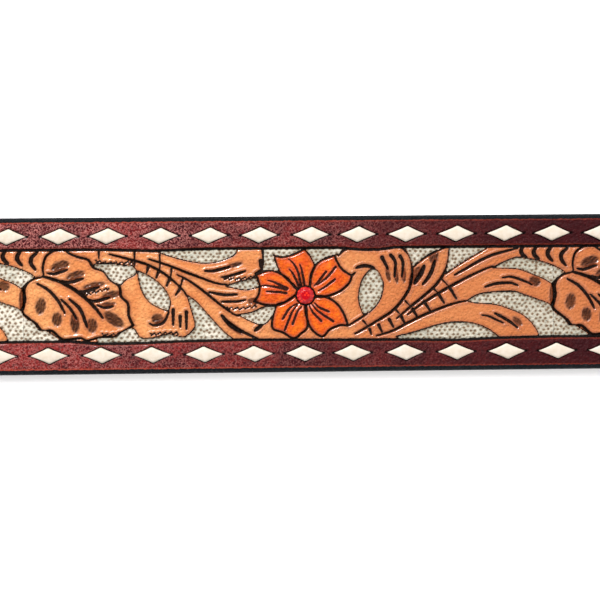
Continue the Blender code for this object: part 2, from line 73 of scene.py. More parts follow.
flower_xs = [middle_x(name) for name in STONES]
STRAP_HALF = strap_high.y
MOTIF = flower_xs[1] - flower_xs[0]
THICKNESS = 3.6 * MM
FLOWER_SHARE = 0.5287
tooling_start = flower_xs[0] - MOTIF * FLOWER_SHARE
tooling_end = tooling_start + MOTIF * len(flower_xs)
stone_low, stone_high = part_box("flower_stone_3")
STONE_Y = (stone_low.y + stone_high.y) / 2
print(f"motif {MOTIF / MM:.1f} mm, strap {2 * STRAP_HALF / MM:.1f} mm wide, tip at {strap_high.x:.4f}")

# %% [markdown]
# ## The drawing that is cut into the leather
# A leather carver first traces a drawing onto the damp strap. Here the drawing is a set of short
# lists of points in millimetres: the first number runs along the belt from the middle of the
# flower, the second runs across it. A smooth curve goes through each list, so few points are
# enough. Everything repeats every motif.

# %% Flower petals
PETALS = {
    "right_top": [(1.2, 1.6), (1.55, 4.6), (2.5, 6.9), (4.1, 8.2), (7.2, 9.35), (7.6, 8.2), (9.0, 5.9),
                  (11.4, 4.35), (10.75, 2.6), (8.6, 0.7), (5.6, -0.5), (2.9, -0.65)],
    "right_low": [(2.9, -0.65), (5.4, -0.95), (7.7, -2.5), (9.3, -4.9), (10.3, -7.8), (8.4, -7.7),
                  (5.9, -8.7), (4.1, -10.4), (1.8, -9.0), (0.5, -6.6), (0.05, -2.5)],
    "left_low": [(-2.3, -0.2), (-5.0, -2.0), (-7.0, -2.7), (-8.1, -6.3), (-7.9, -8.4), (-5.6, -9.3),
                 (-3.0, -10.75), (-1.2, -9.7), (0.4, -8.1), (0.3, -5.4), (0.0, -2.6)],
    "left": [(-2.0, 1.2), (-4.1, 3.4), (-6.3, 5.15), (-8.8, 5.8), (-11.9, 4.75), (-11.1, 1.9),
             (-11.5, -0.4), (-12.5, -1.7), (-10.0, -2.5), (-7.0, -2.7), (-5.0, -2.0), (-2.3, -0.2)],
    "top": [(-2.0, 1.2), (-4.1, 3.6), (-6.3, 5.4), (-7.2, 8.0), (-7.6, 9.5), (-5.6, 9.05), (-2.7, 9.7),
            (-0.15, 10.95), (1.3, 9.25), (2.4, 6.85), (1.45, 4.8), (1.2, 1.6)],
}
PETAL_STROKES = [
    [(2.1, 1.9), (3.4, 3.3), (5.1, 5.4)],
    [(2.7, 2.1), (5.2, 3.9), (7.4, 6.5)],
    [(3.1, 0.7), (4.7, 1.6), (7.2, 3.5)],
    [(2.2, -2.2), (3.25, -3.25), (5.6, -4.3)],
    [(1.5, -2.4), (2.9, -4.1), (6.7, -6.7)],
    [(0.85, -2.7), (1.8, -4.5), (3.8, -6.6)],
    [(-2.0, -2.3), (-3.8, -3.4), (-5.6, -6.0)],
    [(-1.8, -2.5), (-3.25, -4.3), (-5.1, -8.7)],
    [(-1.0, -3.1), (-2.0, -4.3), (-3.2, -7.3)],
    [(-9.1, 3.4), (-7.5, 2.9), (-4.3, 1.4)],
    [(-11.1, 1.9), (-9.7, 2.1), (-7.7, 1.85), (-4.5, 1.1)],
    [(-9.5, 0.7), (-6.3, 0.5), (-4.6, 0.2)],
    [(-3.9, 6.1), (-2.9, 4.8), (-1.6, 1.9)],
    [(-4.0, 8.5), (-2.9, 7.5), (-1.8, 5.5), (-1.0, 1.9)],
    [(-1.3, 7.2), (-0.85, 5.9), (-0.2, 2.3)],
]
print(len(PETALS), "petals with", len(PETAL_STROKES), "strokes")

# %% Painted ground between the leaves
GROUNDS = {
    "right_of_top_petal": [(0.1, 10.95), (0.6, 11.5), (9.0, 11.5), (9.1, 10.9), (8.4, 9.8), (7.2, 9.5),
                           (5.2, 8.95), (3.1, 7.7), (2.45, 6.95), (1.4, 9.3)],
    "left_of_top_petal": [(-10.05, 11.5), (-0.6, 11.5), (-0.5, 10.95), (-1.5, 10.4), (-4.1, 9.4),
                          (-5.6, 9.2), (-7.7, 9.7), (-7.3, 8.0), (-6.6, 6.4), (-6.2, 5.5), (-7.4, 5.75),
                          (-8.8, 5.9), (-10.0, 5.8), (-10.4, 6.1), (-10.1, 7.3)],
    "right_curl_eye": [(16.8, 5.9), (17.7, 5.3), (18.9, 2.8), (19.0, 1.6), (18.1, -1.6), (15.9, -4.3),
                       (14.05, -4.95), (13.2, -2.4), (13.0, -0.6), (13.8, 3.0), (15.6, 5.5)],
    "above_pod": [(24.4, 11.3), (33.9, 11.3), (33.5, 10.9), (30.8, 9.7), (28.1, 7.9), (26.4, 6.4),
                  (26.1, 7.4), (25.3, 9.5)],
    "above_scroll": [(35.5, 11.2), (44.2, 11.2), (44.2, 10.7), (40.6, 8.7), (37.1, 6.6), (34.3, 4.6),
                     (35.0, 7.5), (35.3, 10.3)],
    "between_scrolls": [(45.9, 6.0), (49.5, 7.7), (52.1, 8.45), (55.7, 7.9), (59.3, 6.9), (62.5, 5.5),
                        (63.6, 4.7), (61.6, 3.2), (60.5, 2.0), (58.9, 3.0), (55.7, 4.4), (52.1, 5.7)],
    "low_right": [(39.6, -2.0), (42.4, -0.5), (46.0, 0.0), (50.9, 0.15), (53.9, -0.85), (56.8, -1.9),
                  (59.8, -3.1), (61.1, -5.0), (63.2, -6.4), (64.55, -8.2), (66.1, -8.3), (69.3, -10.4),
                  (68.5, -11.4), (57.2, -11.4), (56.8, -9.5), (54.8, -6.8), (52.1, -4.9), (46.8, -3.0),
                  (41.5, -2.5)],
    "under_long_scroll": [(22.1, -10.5), (25.5, -9.8), (29.0, -8.8), (32.4, -7.8), (36.7, -7.2),
                          (41.0, -7.6), (44.4, -8.9), (47.25, -11.0), (46.5, -11.6), (24.0, -11.6)],
    "beside_leaf": [(-51.0, 6.95), (-51.0, 7.6), (-47.4, 7.8), (-43.9, 7.3), (-42.1, 7.3), (-41.0, 6.0),
                    (-41.3, 5.05), (-43.5, 3.9), (-44.9, 2.7), (-47.25, 3.9), (-48.7, 5.9)],
    "left_curl_eye": [(-40.5, 5.9), (-38.1, 4.8), (-35.6, 3.0), (-33.7, 0.7), (-32.8, -1.6), (-33.3, -3.8),
                      (-35.6, -2.9), (-38.0, -1.3), (-39.6, 1.4), (-40.4, 4.6)],
    "above_long_stems": [(-36.0, 10.7), (-30.0, 11.0), (-24.0, 11.4), (-16.5, 11.4), (-16.8, 10.1),
                         (-18.4, 9.0), (-21.6, 8.0), (-25.2, 7.8), (-29.6, 8.6), (-33.1, 9.6)],
    "between_stems": [(-19.3, 2.1), (-16.3, 3.0), (-12.0, 4.05), (-11.2, 1.9), (-14.5, 1.2),
                      (-18.1, 1.85)],
    "under_stems": [(-16.3, -4.9), (-12.9, -4.3), (-10.0, -3.1), (-7.3, -3.0), (-8.1, -5.2),
                    (-10.4, -7.3), (-13.4, -6.4)],
    "low_left": [(-50.5, -10.2), (-47.4, -10.05), (-45.8, -9.9), (-44.75, -8.9), (-42.0, -7.9),
                 (-40.1, -10.2), (-37.4, -10.4), (-33.1, -9.5), (-29.6, -10.2), (-27.0, -8.1),
                 (-26.8, -6.6), (-28.6, -0.1), (-26.4, -1.8), (-23.4, -5.2), (-19.9, -9.05),
                 (-17.7, -10.75), (-18.5, -11.5), (-50.0, -11.6)],
}

# %% Long cuts: the half width in the middle, the side that is pressed down, and the points
CUTS = [
    (0.26, -1, [(23.7, 11.0), (25.3, 9.4), (26.1, 7.3), (26.1, 4.1), (25.3, 0.9), (23.3, -2.2),
                (21.0, -4.5), (17.7, -6.6), (13.4, -9.1), (12.0, -9.8)]),
    (0.22, 0, [(11.4, 4.35), (12.2, 5.1)]),
    (0.2, 0, [(8.1, 9.25), (9.5, 10.5), (10.9, 11.1)]),
    (0.2, 0, [(10.4, -7.8), (12.4, -6.6), (15.0, -5.0)]),
    (0.38, 0, [(12.4, 6.2), (13.8, 6.65), (15.4, 6.65), (16.8, 6.2)]),
    (0.24, 1, [(26.4, 6.3), (28.1, 7.8), (30.8, 9.6), (33.5, 10.8), (35.1, 11.05)]),
    (0.26, -1, [(35.3, 10.3), (35.0, 7.5), (34.1, 5.0), (32.1, 2.1), (29.0, -0.75), (25.8, -3.25),
                (23.0, -5.6), (22.2, -6.2)]),
    (0.5, 0, [(26.7, 2.3), (27.6, 3.7), (28.5, 5.1), (29.1, 6.65)]),
    (0.42, 0, [(28.7, 2.1), (29.9, 3.5), (31.0, 5.5), (31.7, 7.8)]),
    (0.24, 1, [(24.9, -5.3), (27.8, -3.1), (32.1, -0.4), (36.2, 1.9), (40.3, 4.0), (44.6, 5.9),
               (46.0, 6.3)]),
    (0.22, 1, [(34.3, 4.6), (37.1, 6.6), (40.6, 8.7), (44.2, 10.7)]),
    (0.28, 0, [(36.5, 4.3), (38.9, 5.6), (42.4, 7.55), (46.0, 9.15), (50.4, 10.3), (52.1, 10.7)]),
    (0.24, 1, [(17.2, -10.4), (21.3, -9.15), (25.5, -7.0), (30.6, -4.7), (36.2, -2.7), (39.2, -2.1)]),
    (0.3, 0, [(43.9, 1.3), (46.8, 2.1), (50.4, 2.2), (52.0, 1.6)]),
    (0.24, 0, [(48.2, 3.5), (50.4, 3.7), (53.9, 2.55), (55.5, 1.75)]),
    (0.3, 0, [(60.6, 2.1), (61.1, 0.0), (60.9, -2.4), (60.2, -4.1)]),
    (0.2, 0, [(43.1, -5.6), (44.75, -5.85), (48.4, -7.6)]),
    (0.3, 0, [(46.25, -5.1), (49.6, -7.0), (51.8, -8.7)]),
    (0.42, 0, [(53.5, 11.1), (52.9, 10.2), (53.2, 9.2), (54.4, 8.2)]),
    (0.46, 0, [(56.7, 10.9), (56.0, 10.0), (56.2, 9.0), (57.3, 8.0)]),
    (0.46, 0, [(60.3, 10.8), (59.5, 9.8), (59.6, 8.7), (60.6, 7.5)]),
    (0.42, 0, [(64.3, 10.6), (62.9, 9.3), (62.8, 7.9), (63.9, 6.4)]),
    (0.22, 1, [(-60.0, 11.3), (-62.5, 9.8), (-63.4, 7.1), (-63.2, 5.1)]),
    (0.26, 1, [(-61.1, 11.0), (-58.6, 11.4), (-56.8, 10.2), (-54.6, 9.3), (-52.5, 8.7), (-51.25, 6.9),
               (-48.7, 5.9), (-47.25, 3.9), (-45.1, 2.3), (-44.6, -0.2), (-43.0, -2.0), (-42.8, -4.9),
               (-41.8, -7.2), (-43.3, -8.25), (-45.8, -9.9), (-49.2, -9.95), (-52.5, -10.8)]),
    (0.4, -1, [(-63.4, 4.8), (-59.8, 3.7), (-56.4, 1.9), (-53.6, -0.2), (-50.9, -2.9), (-49.05, -5.4)]),
    (0.3, 0, [(-62.3, 5.6), (-60.7, 5.4), (-57.5, 6.4)]),
    (0.34, 0, [(-58.9, 3.7), (-57.1, 3.3), (-53.75, 4.25)]),
    (0.34, 0, [(-55.0, 1.1), (-53.2, 1.1), (-50.0, 2.1)]),
    (0.34, 0, [(-52.5, -0.9), (-50.9, -1.3), (-47.4, -0.4)]),
    (0.28, 0, [(-50.3, -2.3), (-48.4, -2.9), (-46.5, -2.5)]),
    (0.26, -1, [(-63.6, 4.7), (-66.25, 3.9), (-67.8, 1.9), (-67.7, -0.9), (-68.5, -3.6), (-66.8, -5.4),
                (-65.0, -6.8), (-63.6, -8.4), (-61.4, -8.35), (-58.9, -10.4), (-56.6, -10.4),
                (-54.3, -10.2), (-52.9, -10.85), (-50.5, -10.1)]),
    (0.32, 0, [(-64.8, 3.1), (-62.1, 1.5), (-59.8, -1.1), (-58.2, -4.15)]),
    (0.26, 0, [(-59.1, -0.75), (-56.8, -3.1), (-55.4, -5.6)]),
    (0.36, 0, [(-57.1, -0.75), (-54.5, -3.25), (-52.9, -7.5)]),
    (0.26, -1, [(-47.4, 10.05), (-43.9, 9.15), (-38.5, 7.55), (-34.6, 5.5), (-31.7, 3.2), (-29.4, 0.85),
                (-28.7, -0.4)]),
    (0.26, 0, [(-37.8, -6.8), (-36.7, -7.3), (-34.4, -6.5), (-33.1, -4.0)]),
    (0.24, -1, [(-37.9, 8.8), (-33.1, 7.2), (-27.8, 5.1), (-21.6, 2.8), (-19.0, 2.45)]),
    (0.24, -1, [(-31.1, 5.0), (-27.8, 3.2), (-24.2, 0.5), (-20.9, -2.2), (-17.7, -4.6), (-16.3, -5.2)]),
    (0.3, 0, [(-24.3, 5.8), (-22.2, 5.8), (-18.25, 6.75)]),
    (0.26, 0, [(-20.4, 4.25), (-18.4, 4.5), (-14.5, 5.7)]),
    (0.3, 0, [(-10.4, 11.2), (-10.05, 8.7), (-10.4, 6.2), (-12.2, 5.05)]),
    (0.28, 0, [(-23.4, 0.7), (-19.9, 0.0), (-16.5, 0.05)]),
    (0.24, 0, [(-20.4, -1.7), (-16.3, -1.65), (-14.5, -1.3)]),
    (0.46, 0, [(-20.4, -5.0), (-18.25, -7.4), (-15.6, -9.15)]),
    (0.3, 0, [(-19.5, -5.9), (-16.5, -8.3), (-11.5, -10.9)]),
    (0.4, 0, [(-12.4, -8.8), (-10.6, -7.5)]),
]

# %% Short ticks across the stems: half width and two ends
TICKS = [
    (0.3, [(15.6, -8.7), (16.0, -9.95)]), (0.34, [(17.8, -7.7), (18.6, -9.4)]),
    (0.34, [(20.4, -6.4), (21.4, -8.25)]), (0.34, [(23.3, -5.6), (24.2, -7.35)]),
    (0.34, [(26.2, -4.0), (27.3, -5.9)]), (0.34, [(29.0, -2.2), (30.4, -4.3)]),
    (0.34, [(32.6, -0.5), (33.9, -2.5)]), (0.34, [(35.4, 1.0), (36.9, -1.55)]),
    (0.18, [(14.0, -6.6), (15.0, -7.8)]), (0.18, [(22.0, -4.1), (22.9, -5.0)]),
    (0.18, [(24.4, -2.0), (25.3, -2.9)]), (0.18, [(31.4, 0.9), (32.3, 0.1)]),
    (0.18, [(33.5, 3.1), (34.8, 1.85)]), (0.4, [(18.8, 8.7), (20.2, 5.9)]),
    (0.36, [(20.9, 9.25), (22.0, 7.6), (21.8, 4.0)]), (0.36, [(23.2, 9.0), (23.9, 7.5), (23.6, 4.0)]),
    (0.28, [(-38.05, 6.8), (-38.4, 5.4)]), (0.32, [(-35.5, 5.9), (-36.1, 4.25)]),
    (0.34, [(-32.8, 4.1), (-33.6, 2.3)]), (0.32, [(-30.4, 1.6), (-31.4, 0.05)]),
    (0.16, [(-35.2, 9.8), (-35.2, 6.4)]), (0.18, [(-32.4, 6.4), (-32.6, 4.6)]),
    (0.18, [(-29.8, 3.7), (-30.2, 2.1)]), (0.2, [(-41.3, 10.9), (-41.3, 7.1)]),
    (0.2, [(-49.9, 10.8), (-49.9, 9.0)]), (0.36, [(-32.1, -3.6), (-32.1, -7.2)]),
    (0.36, [(-30.4, -5.2), (-30.4, -7.7)]), (0.36, [(-28.9, -4.1), (-28.9, -8.2)]),
    (0.4, [(-10.8, 8.1), (-10.8, 6.6)]),
]

# %% Stamped shades: middle, half sizes and turn in degrees
STAMPS = [
    ((-59.3, 7.3), (2.1, 1.05), 22), ((-55.6, 5.0), (2.1, 0.85), 20), ((-51.2, 2.5), (2.5, 0.65), 12),
    ((-47.0, 0.2), (2.1, 0.75), 12), ((-47.6, -2.0), (1.5, 0.45), 5), ((-46.4, -5.8), (2.5, 1.2), -36),
    ((-64.0, -2.4), (1.1, 1.8), -12), ((-60.1, -5.6), (1.1, 1.5), 0), ((-55.8, -6.6), (1.0, 2.1), 5),
    ((-51.7, -7.2), (1.15, 1.6), 0), ((-35.9, -5.7), (1.3, 1.1), 0), ((56.2, 2.6), (1.3, 1.1), -20),
    ((51.8, -7.2), (1.3, 0.7), -40), ((26.9, 4.2), (1.0, 2.2), -32), ((31.5, 8.8), (1.0, 1.6), -10),
    ((20.2, 4.6), (0.5, 1.6), 10), ((22.2, 4.4), (0.5, 1.8), 5), ((24.1, 4.4), (0.5, 1.6), 0),
    ((-17.0, 7.2), (1.7, 0.5), 12), ((-12.7, -1.65), (1.2, 0.7), 0), ((-17.2, -8.2), (2.2, 0.6), -38),
    ((60.6, -1.0), (0.7, 2.6), 0),
]

# %% Ragged rows of small dots that roughen an edge
STIPPLES = [
    [(-50.6, 8.3), (-47.0, 7.9), (-41.6, 8.0)], [(-19.8, 3.9), (-16.0, 3.8), (-12.2, 4.3)],
    [(-19.0, -3.3), (-15.5, -3.4), (-12.0, -2.8)], [(-49.2, -9.4), (-47.0, -9.5), (-44.8, -9.1)],
    [(-37.6, -9.5), (-34.0, -9.2), (-31.0, -9.2)], [(-53.4, 0.2), (-50.6, 1.0), (-47.6, 1.7)],
]

# %% The border line's height above and below the panel, by distance along the motif
BORDER_UPPER = [(-68.2, 11.2), (-50, 11.2), (-37, 10.8), (-30, 11.0), (-24, 11.2), (8, 11.2), (14, 10.7),
                (18, 10.7), (22, 11.2), (60.8, 11.2)]
BORDER_LOWER = [(-68.2, -10.95), (-57, -11.0), (-50, -11.6), (-42, -11.6), (-30, -11.2), (-16, -11.0),
                (0, -11.2), (28, -11.4), (36, -11.6), (46, -11.2), (60.8, -10.95)]
print(len(GROUNDS), "grounds,", len(CUTS), "cuts,", len(TICKS), "ticks,", len(STAMPS), "stamps")

# %% [markdown]
# ## From points to distances
# The drawing is turned into distances: for every place on the leather, how far is the nearest
# cut, the edge of the painted ground or the edge of a petal? Distances are the carver's best
# friend, because one list of them gives both the shape of a groove and the width of its ink.

# %% A smooth line through listed points
REPEATS = (-MOTIF / MM, 0, MOTIF / MM)
CORNER_TURN = math.radians(75)
LINE_STEP = 0.4
FAR_AWAY = 9.0


def smooth_line(points, closed):
    """A dense line through the points, smooth except where it turns sharply."""
    places = np.array(points, float)
    count = len(places)
    before = np.roll(places, 1, axis=0) if closed else np.vstack([places[:1], places[:-1]])
    after = np.roll(places, -1, axis=0) if closed else np.vstack([places[1:], places[-1:]])
    tangents = (after - before) / 2
    for i in range(count):
        way_in, way_out = places[i] - before[i], after[i] - places[i]
        sizes = np.linalg.norm(way_in) * np.linalg.norm(way_out)
        if sizes > 0 and math.acos(np.clip(way_in @ way_out / sizes, -1, 1)) > CORNER_TURN:
            tangents[i] = 0
    line = []
    for i in range(count if closed else count - 1):
        j = (i + 1) % count
        reach = np.linalg.norm(places[j] - places[i])
        limit = [min(1, reach / max(np.linalg.norm(t), 1e-9)) for t in (tangents[i], tangents[j])]
        start, end = tangents[i] * limit[0], tangents[j] * limit[1]
        steps = max(2, int(reach / LINE_STEP))
        for s in np.arange(steps) / steps:
            line.append(
                (2 * s**3 - 3 * s**2 + 1) * places[i]
                + (s**3 - 2 * s**2 + s) * start
                + (3 * s**2 - 2 * s**3) * places[j]
                + (s**3 - s**2) * end
            )
    if not closed:
        line.append(places[-1])
    return np.array(line)


# %% Distance from every place to a line
def reach_of(line, closed, u, v):
    """For each place: its distance to the line, how far along that is, its side, and if it is inside."""
    best = np.full(u.shape, np.inf)
    along = np.zeros(u.shape)
    side = np.ones(u.shape)
    inside = np.zeros(u.shape, bool)
    ends = np.roll(line, -1, axis=0) if closed else line[1:]
    for i, (one, two) in enumerate(zip(line, ends)):
        way = two - one
        share = np.clip(((u - one[0]) * way[0] + (v - one[1]) * way[1]) / max(way @ way, 1e-12), 0, 1)
        off_u, off_v = u - one[0] - share * way[0], v - one[1] - share * way[1]
        distance = np.hypot(off_u, off_v)
        closer = distance < best
        best = np.where(closer, distance, best)
        along = np.where(closer, (i + share) / len(ends), along)
        side = np.where(closer, np.sign(way[0] * off_v - way[1] * off_u), side)
        if closed and one[1] != two[1]:
            crossing = (one[1] > v) != (two[1] > v)
            inside ^= crossing & (u < one[0] + (v - one[1]) / (two[1] - one[1]) * way[0])
    return best, along, side, inside


def patch_of(points, margin, u, v, closed=False):
    """The line's distances in the places near it, for each repeat of the motif that reaches them."""
    line = smooth_line(points, closed)
    for shift in REPEATS:
        moved = line + (shift, 0)
        low, high = moved.min(axis=0) - margin, moved.max(axis=0) + margin
        near = (u > low[0]) & (u < high[0]) & (v > low[1]) & (v < high[1])
        if near.any():
            yield near, reach_of(moved, closed, u[near], v[near])


# %% The grid of places over one motif
EDGE_RADIUS = 0.9
PANEL_STEP = 0.24
BORDER_STEP = 0.34
PANEL_REACH = 11.9
half_mm = STRAP_HALF / MM
EDGE_START = half_mm - EDGE_RADIUS


def spaced(start, end, step):
    """Even places from start up to, but not at, end."""
    return np.linspace(start, end, max(1, round((end - start) / step)), endpoint=False)


edge_rows = half_mm - EDGE_RADIUS * (1 - np.sin(np.linspace(0, math.pi / 2, 7)[1:]))
upper_rows = np.concatenate([
    spaced(0, PANEL_REACH, PANEL_STEP), spaced(PANEL_REACH, EDGE_START, BORDER_STEP),
    [EDGE_START], edge_rows,
])
rows = np.concatenate([-upper_rows[:0:-1], upper_rows])
u_start = -MOTIF / MM * FLOWER_SHARE
columns = np.linspace(u_start, u_start + MOTIF / MM, round(MOTIF / MM / PANEL_STEP) + 1)
U, V = np.meshgrid(columns, rows)
print(f"{len(columns)} x {len(rows)} places on one motif")

# %% Distances to everything in the drawing
fields = {name: np.full(U.shape, FAR_AWAY) for name in ("ground", "petal", "cut", "pit", "stroke")}
press = np.zeros(U.shape)
groove = np.zeros(U.shape)
petal_rise = np.zeros(U.shape)
stamp = np.zeros(U.shape)
halo = np.zeros(U.shape)
# Lengths in mm. A margin is how far from its line a shape is worked out, and a groove is given
# by its depth and its reach to each side.
SHAPE_MARGIN, CUT_MARGIN, TICK_MARGIN = 3, 3.5, 1.5
PRESS_DEPTH, PRESS_REACH = 0.45, 0.9
PETAL_RISE, PETAL_ROUNDING, PETAL_LINE = 0.5, 1.1, 0.2
PETAL_GROOVE, STROKE_GROOVE = (0.4, 0.26), (0.28, 0.26)
CUT_SLOPE = 0.12
STROKE_HALF = 0.24
DOT_RADIUS, DOT_DEPTH, DOT_WANDER = 0.2, 0.3, (0.24, -0.2, 0.02)
STAMP_SPREAD, STAMP_LINES, STAMP_WAVE, STAMP_HATCH = 1.22, 0.62, 0.18, 0.22


def nearer(name, near, far):
    """Keeps the lesser distance in a field."""
    fields[name][near] = np.minimum(fields[name][near], far)


def carve(near, far, depth, reach):
    """Deepens the groove to a rounded cut."""
    groove[near] = np.maximum(groove[near], depth * np.exp(-((far / reach) ** 2)))


print("a cut presses the leather down", PRESS_DEPTH, "mm beside it")

# %% Grounds and petals
for points in GROUNDS.values():
    for near, (far, _, _, inside) in patch_of(points, SHAPE_MARGIN, U, V, closed=True):
        nearer("ground", near, np.where(inside, -far, far))
for points in PETALS.values():
    for near, (far, _, _, inside) in patch_of(points, SHAPE_MARGIN, U, V, closed=True):
        nearer("petal", near, np.where(inside, -far, far))
        nearer("cut", near, far - PETAL_LINE)
        carve(near, far, *PETAL_GROOVE)
        rise = np.where(inside, PETAL_RISE * (1 - np.exp(-far / PETAL_ROUNDING)), 0)
        petal_rise[near] = np.maximum(petal_rise[near], rise)
print(f"petals rise {petal_rise.max():.2f} mm")


# %% Cuts, ticks and strokes
def taper(along):
    """A cut is thinner towards its ends."""
    return 0.45 + 0.55 * np.sin(math.pi * np.clip(along, 0, 1)) ** 0.6


for half_width, pressed_side, points in CUTS:
    for near, (far, along, side, _) in patch_of(points, CUT_MARGIN, U, V):
        width = half_width * taper(along)
        nearer("cut", near, far - width)
        carve(near, far, 0.3 + 0.5 * width, width + CUT_SLOPE)
        if pressed_side:
            pressed = PRESS_DEPTH * np.exp(-far / PRESS_REACH) * (side == pressed_side) * taper(along)
            press[near] = np.maximum(press[near], pressed)
for half_width, points in TICKS:
    for near, (far, along, _, _) in patch_of(points, TICK_MARGIN, U, V):
        width = half_width * (0.5 + 0.6 * (1 - along))
        nearer("cut", near, far - width)
        carve(near, far, 0.2 + 0.5 * width, width + CUT_SLOPE)
for points in PETAL_STROKES:
    for near, (far, along, _, _) in patch_of(points, TICK_MARGIN, U, V):
        width = STROKE_HALF * np.clip(np.where(along < 0.5, 0.4 + 1.2 * along, 1), 0.3, 1)
        nearer("stroke", near, far - width)
        carve(near, far, *STROKE_GROOVE)
print(f"deepest groove {groove.max():.2f} mm")

# %% Stipples and stamps
for points in STIPPLES:
    for i, (dot_u, dot_v) in enumerate(smooth_line(points, False)):
        for shift in REPEATS:
            far = np.hypot(U - dot_u - shift, (V - dot_v - DOT_WANDER[i % 3]) * 1.2)
            nearer("cut", ..., far - DOT_RADIUS)
            carve(..., far, DOT_DEPTH, DOT_RADIUS)
for (middle_u, middle_v), (half_u, half_v), turn in STAMPS:
    for shift in REPEATS:
        off_u, off_v = U - middle_u - shift, V - middle_v
        cos, sin = math.cos(math.radians(turn)), math.sin(math.radians(turn))
        along, across = off_u * cos + off_v * sin, off_v * cos - off_u * sin
        reach = np.hypot(along / half_u, across / half_v) / STAMP_SPREAD
        lines = along if half_u < half_v else across
        waves = lines + STAMP_WAVE * np.sin(2.2 * (along + across))
        hatch = 1 - STAMP_HATCH + STAMP_HATCH * np.sin(2 * math.pi * waves / STAMP_LINES)
        stamp = np.maximum(stamp, np.clip(2.6 * (1.12 - reach), 0, 1) * hatch)
        halo = np.maximum(halo, np.exp(-1.4 * np.clip(reach - 0.7, 0, None)))
print(f"stamps shade {(stamp > 0.5).mean():.1%} of a motif")

# %% Stippled ground
PIT_U, PIT_V, PIT_JITTER, PIT_REACH = 1.28, 0.92, 0.14, 1
PIT_ROWS = 27
random = np.random.default_rng(7)
pit_columns = round(MOTIF / MM / PIT_U)
for row in range(-PIT_ROWS // 2, PIT_ROWS // 2 + 1):
    jitter = random.normal(0, PIT_JITTER, (pit_columns, 2))
    for column in range(pit_columns):
        pit_u = u_start + (column + (row % 2) / 2) * (MOTIF / MM / pit_columns) + jitter[column, 0]
        pit_v = row * PIT_V + jitter[column, 1]
        near_u = slice(*np.searchsorted(columns, (pit_u - PIT_REACH, pit_u + PIT_REACH)))
        near_v = slice(*np.searchsorted(rows, (pit_v - PIT_REACH, pit_v + PIT_REACH)))
        off_u, off_v = np.abs(U[near_v, near_u] - pit_u), np.abs(V[near_v, near_u] - pit_v)
        # A pit is between a circle and a diamond that is longer along the belt.
        far = 0.55 * np.hypot(off_u, off_v) + 0.45 * (0.8 * off_u + 1.15 * off_v)
        nearer("pit", (near_v, near_u), far)
print(f"ground covers {(fields['ground'] < 0).mean():.0%} of a motif")

# %% The border lines and the relief of one motif
border_upper = np.interp(U, *zip(*BORDER_UPPER))
border_lower = np.interp(U, *zip(*BORDER_LOWER))
fields["rail"] = np.where(V > 0, V - border_upper, border_lower - V)
GROUND_DEPTH = 0.5
BANK_DEPTH, BANK_REACH = 0.18, 0.5
PIT_DEPTH, PIT_WIDTH = 0.2, 0.32
STAMP_DEPTH = 0.3
CUT_LIP, CUT_LIP_AT, CUT_LIP_WIDTH = 0.2, 0.34, 0.24
RAIL_DEPTH, RAIL_WIDTH = 0.45, 0.32
SEAT_DEPTH = 0.1
STONE_RADIUS = (stone_high.x - stone_low.x) / 2 / MM


def soft(value, low, high):
    """0 below low, 1 above high, and a smooth way between."""
    share = np.clip((value - low) / (high - low), 0, 1)
    return share * share * (3 - 2 * share)


in_panel = 1 - soft(fields["rail"], -0.2, 0.15)
sunk = (1 - soft(fields["ground"], -0.28, 0.1)) * in_panel
from_stone = np.hypot(U, V - STONE_Y / MM)
relief = -press - groove - BANK_DEPTH * np.exp(-np.clip(fields["ground"], 0, FAR_AWAY) / BANK_REACH)
relief = relief * (1 - sunk) - GROUND_DEPTH * sunk
relief -= PIT_DEPTH * np.exp(-((fields["pit"] / PIT_WIDTH) ** 2)) * sunk
relief -= STAMP_DEPTH * stamp * (1 - sunk)
relief += CUT_LIP * np.exp(-(((fields["cut"] - CUT_LIP_AT) / CUT_LIP_WIDTH) ** 2)) * (1 - sunk)
relief += petal_rise * soft(from_stone, 1.8, 4.0)
relief *= in_panel
relief -= RAIL_DEPTH * np.exp(-((fields["rail"] / RAIL_WIDTH) ** 2))
seat = 1 - soft(from_stone, STONE_RADIUS + 0.15, STONE_RADIUS + 0.5)
relief = relief * (1 - seat) - SEAT_DEPTH * seat
nearer("cut", ..., np.abs(fields["rail"]) - 0.3)
nearer("cut", ..., np.abs(from_stone - STONE_RADIUS - 0.2) - 0.12)
nearer("cut", ..., np.where(fields["ground"] > -0.4, np.abs(fields["ground"]) - 0.14, FAR_AWAY))
fields["cut"] = np.where(sunk > 0.9, FAR_AWAY, fields["cut"])
fields["stamp"] = stamp * (1 - sunk)
fields["press"] = press * (1 - sunk)
fields["halo"] = halo * (1 - sunk)
print(f"relief from {relief.min():.2f} to {relief.max():.2f} mm")

# %% [markdown]
# ## The diamond slits of the two borders
# The laces rise through lengthwise slits, pulled open to diamonds. Their pitch isn't the motif's,
# so the slits are worked out afresh for each length of strap. They are laced by hand, so each
# stitch may be up to 0.7 mm off its even place, given in mm from the middle flower's stitch on.

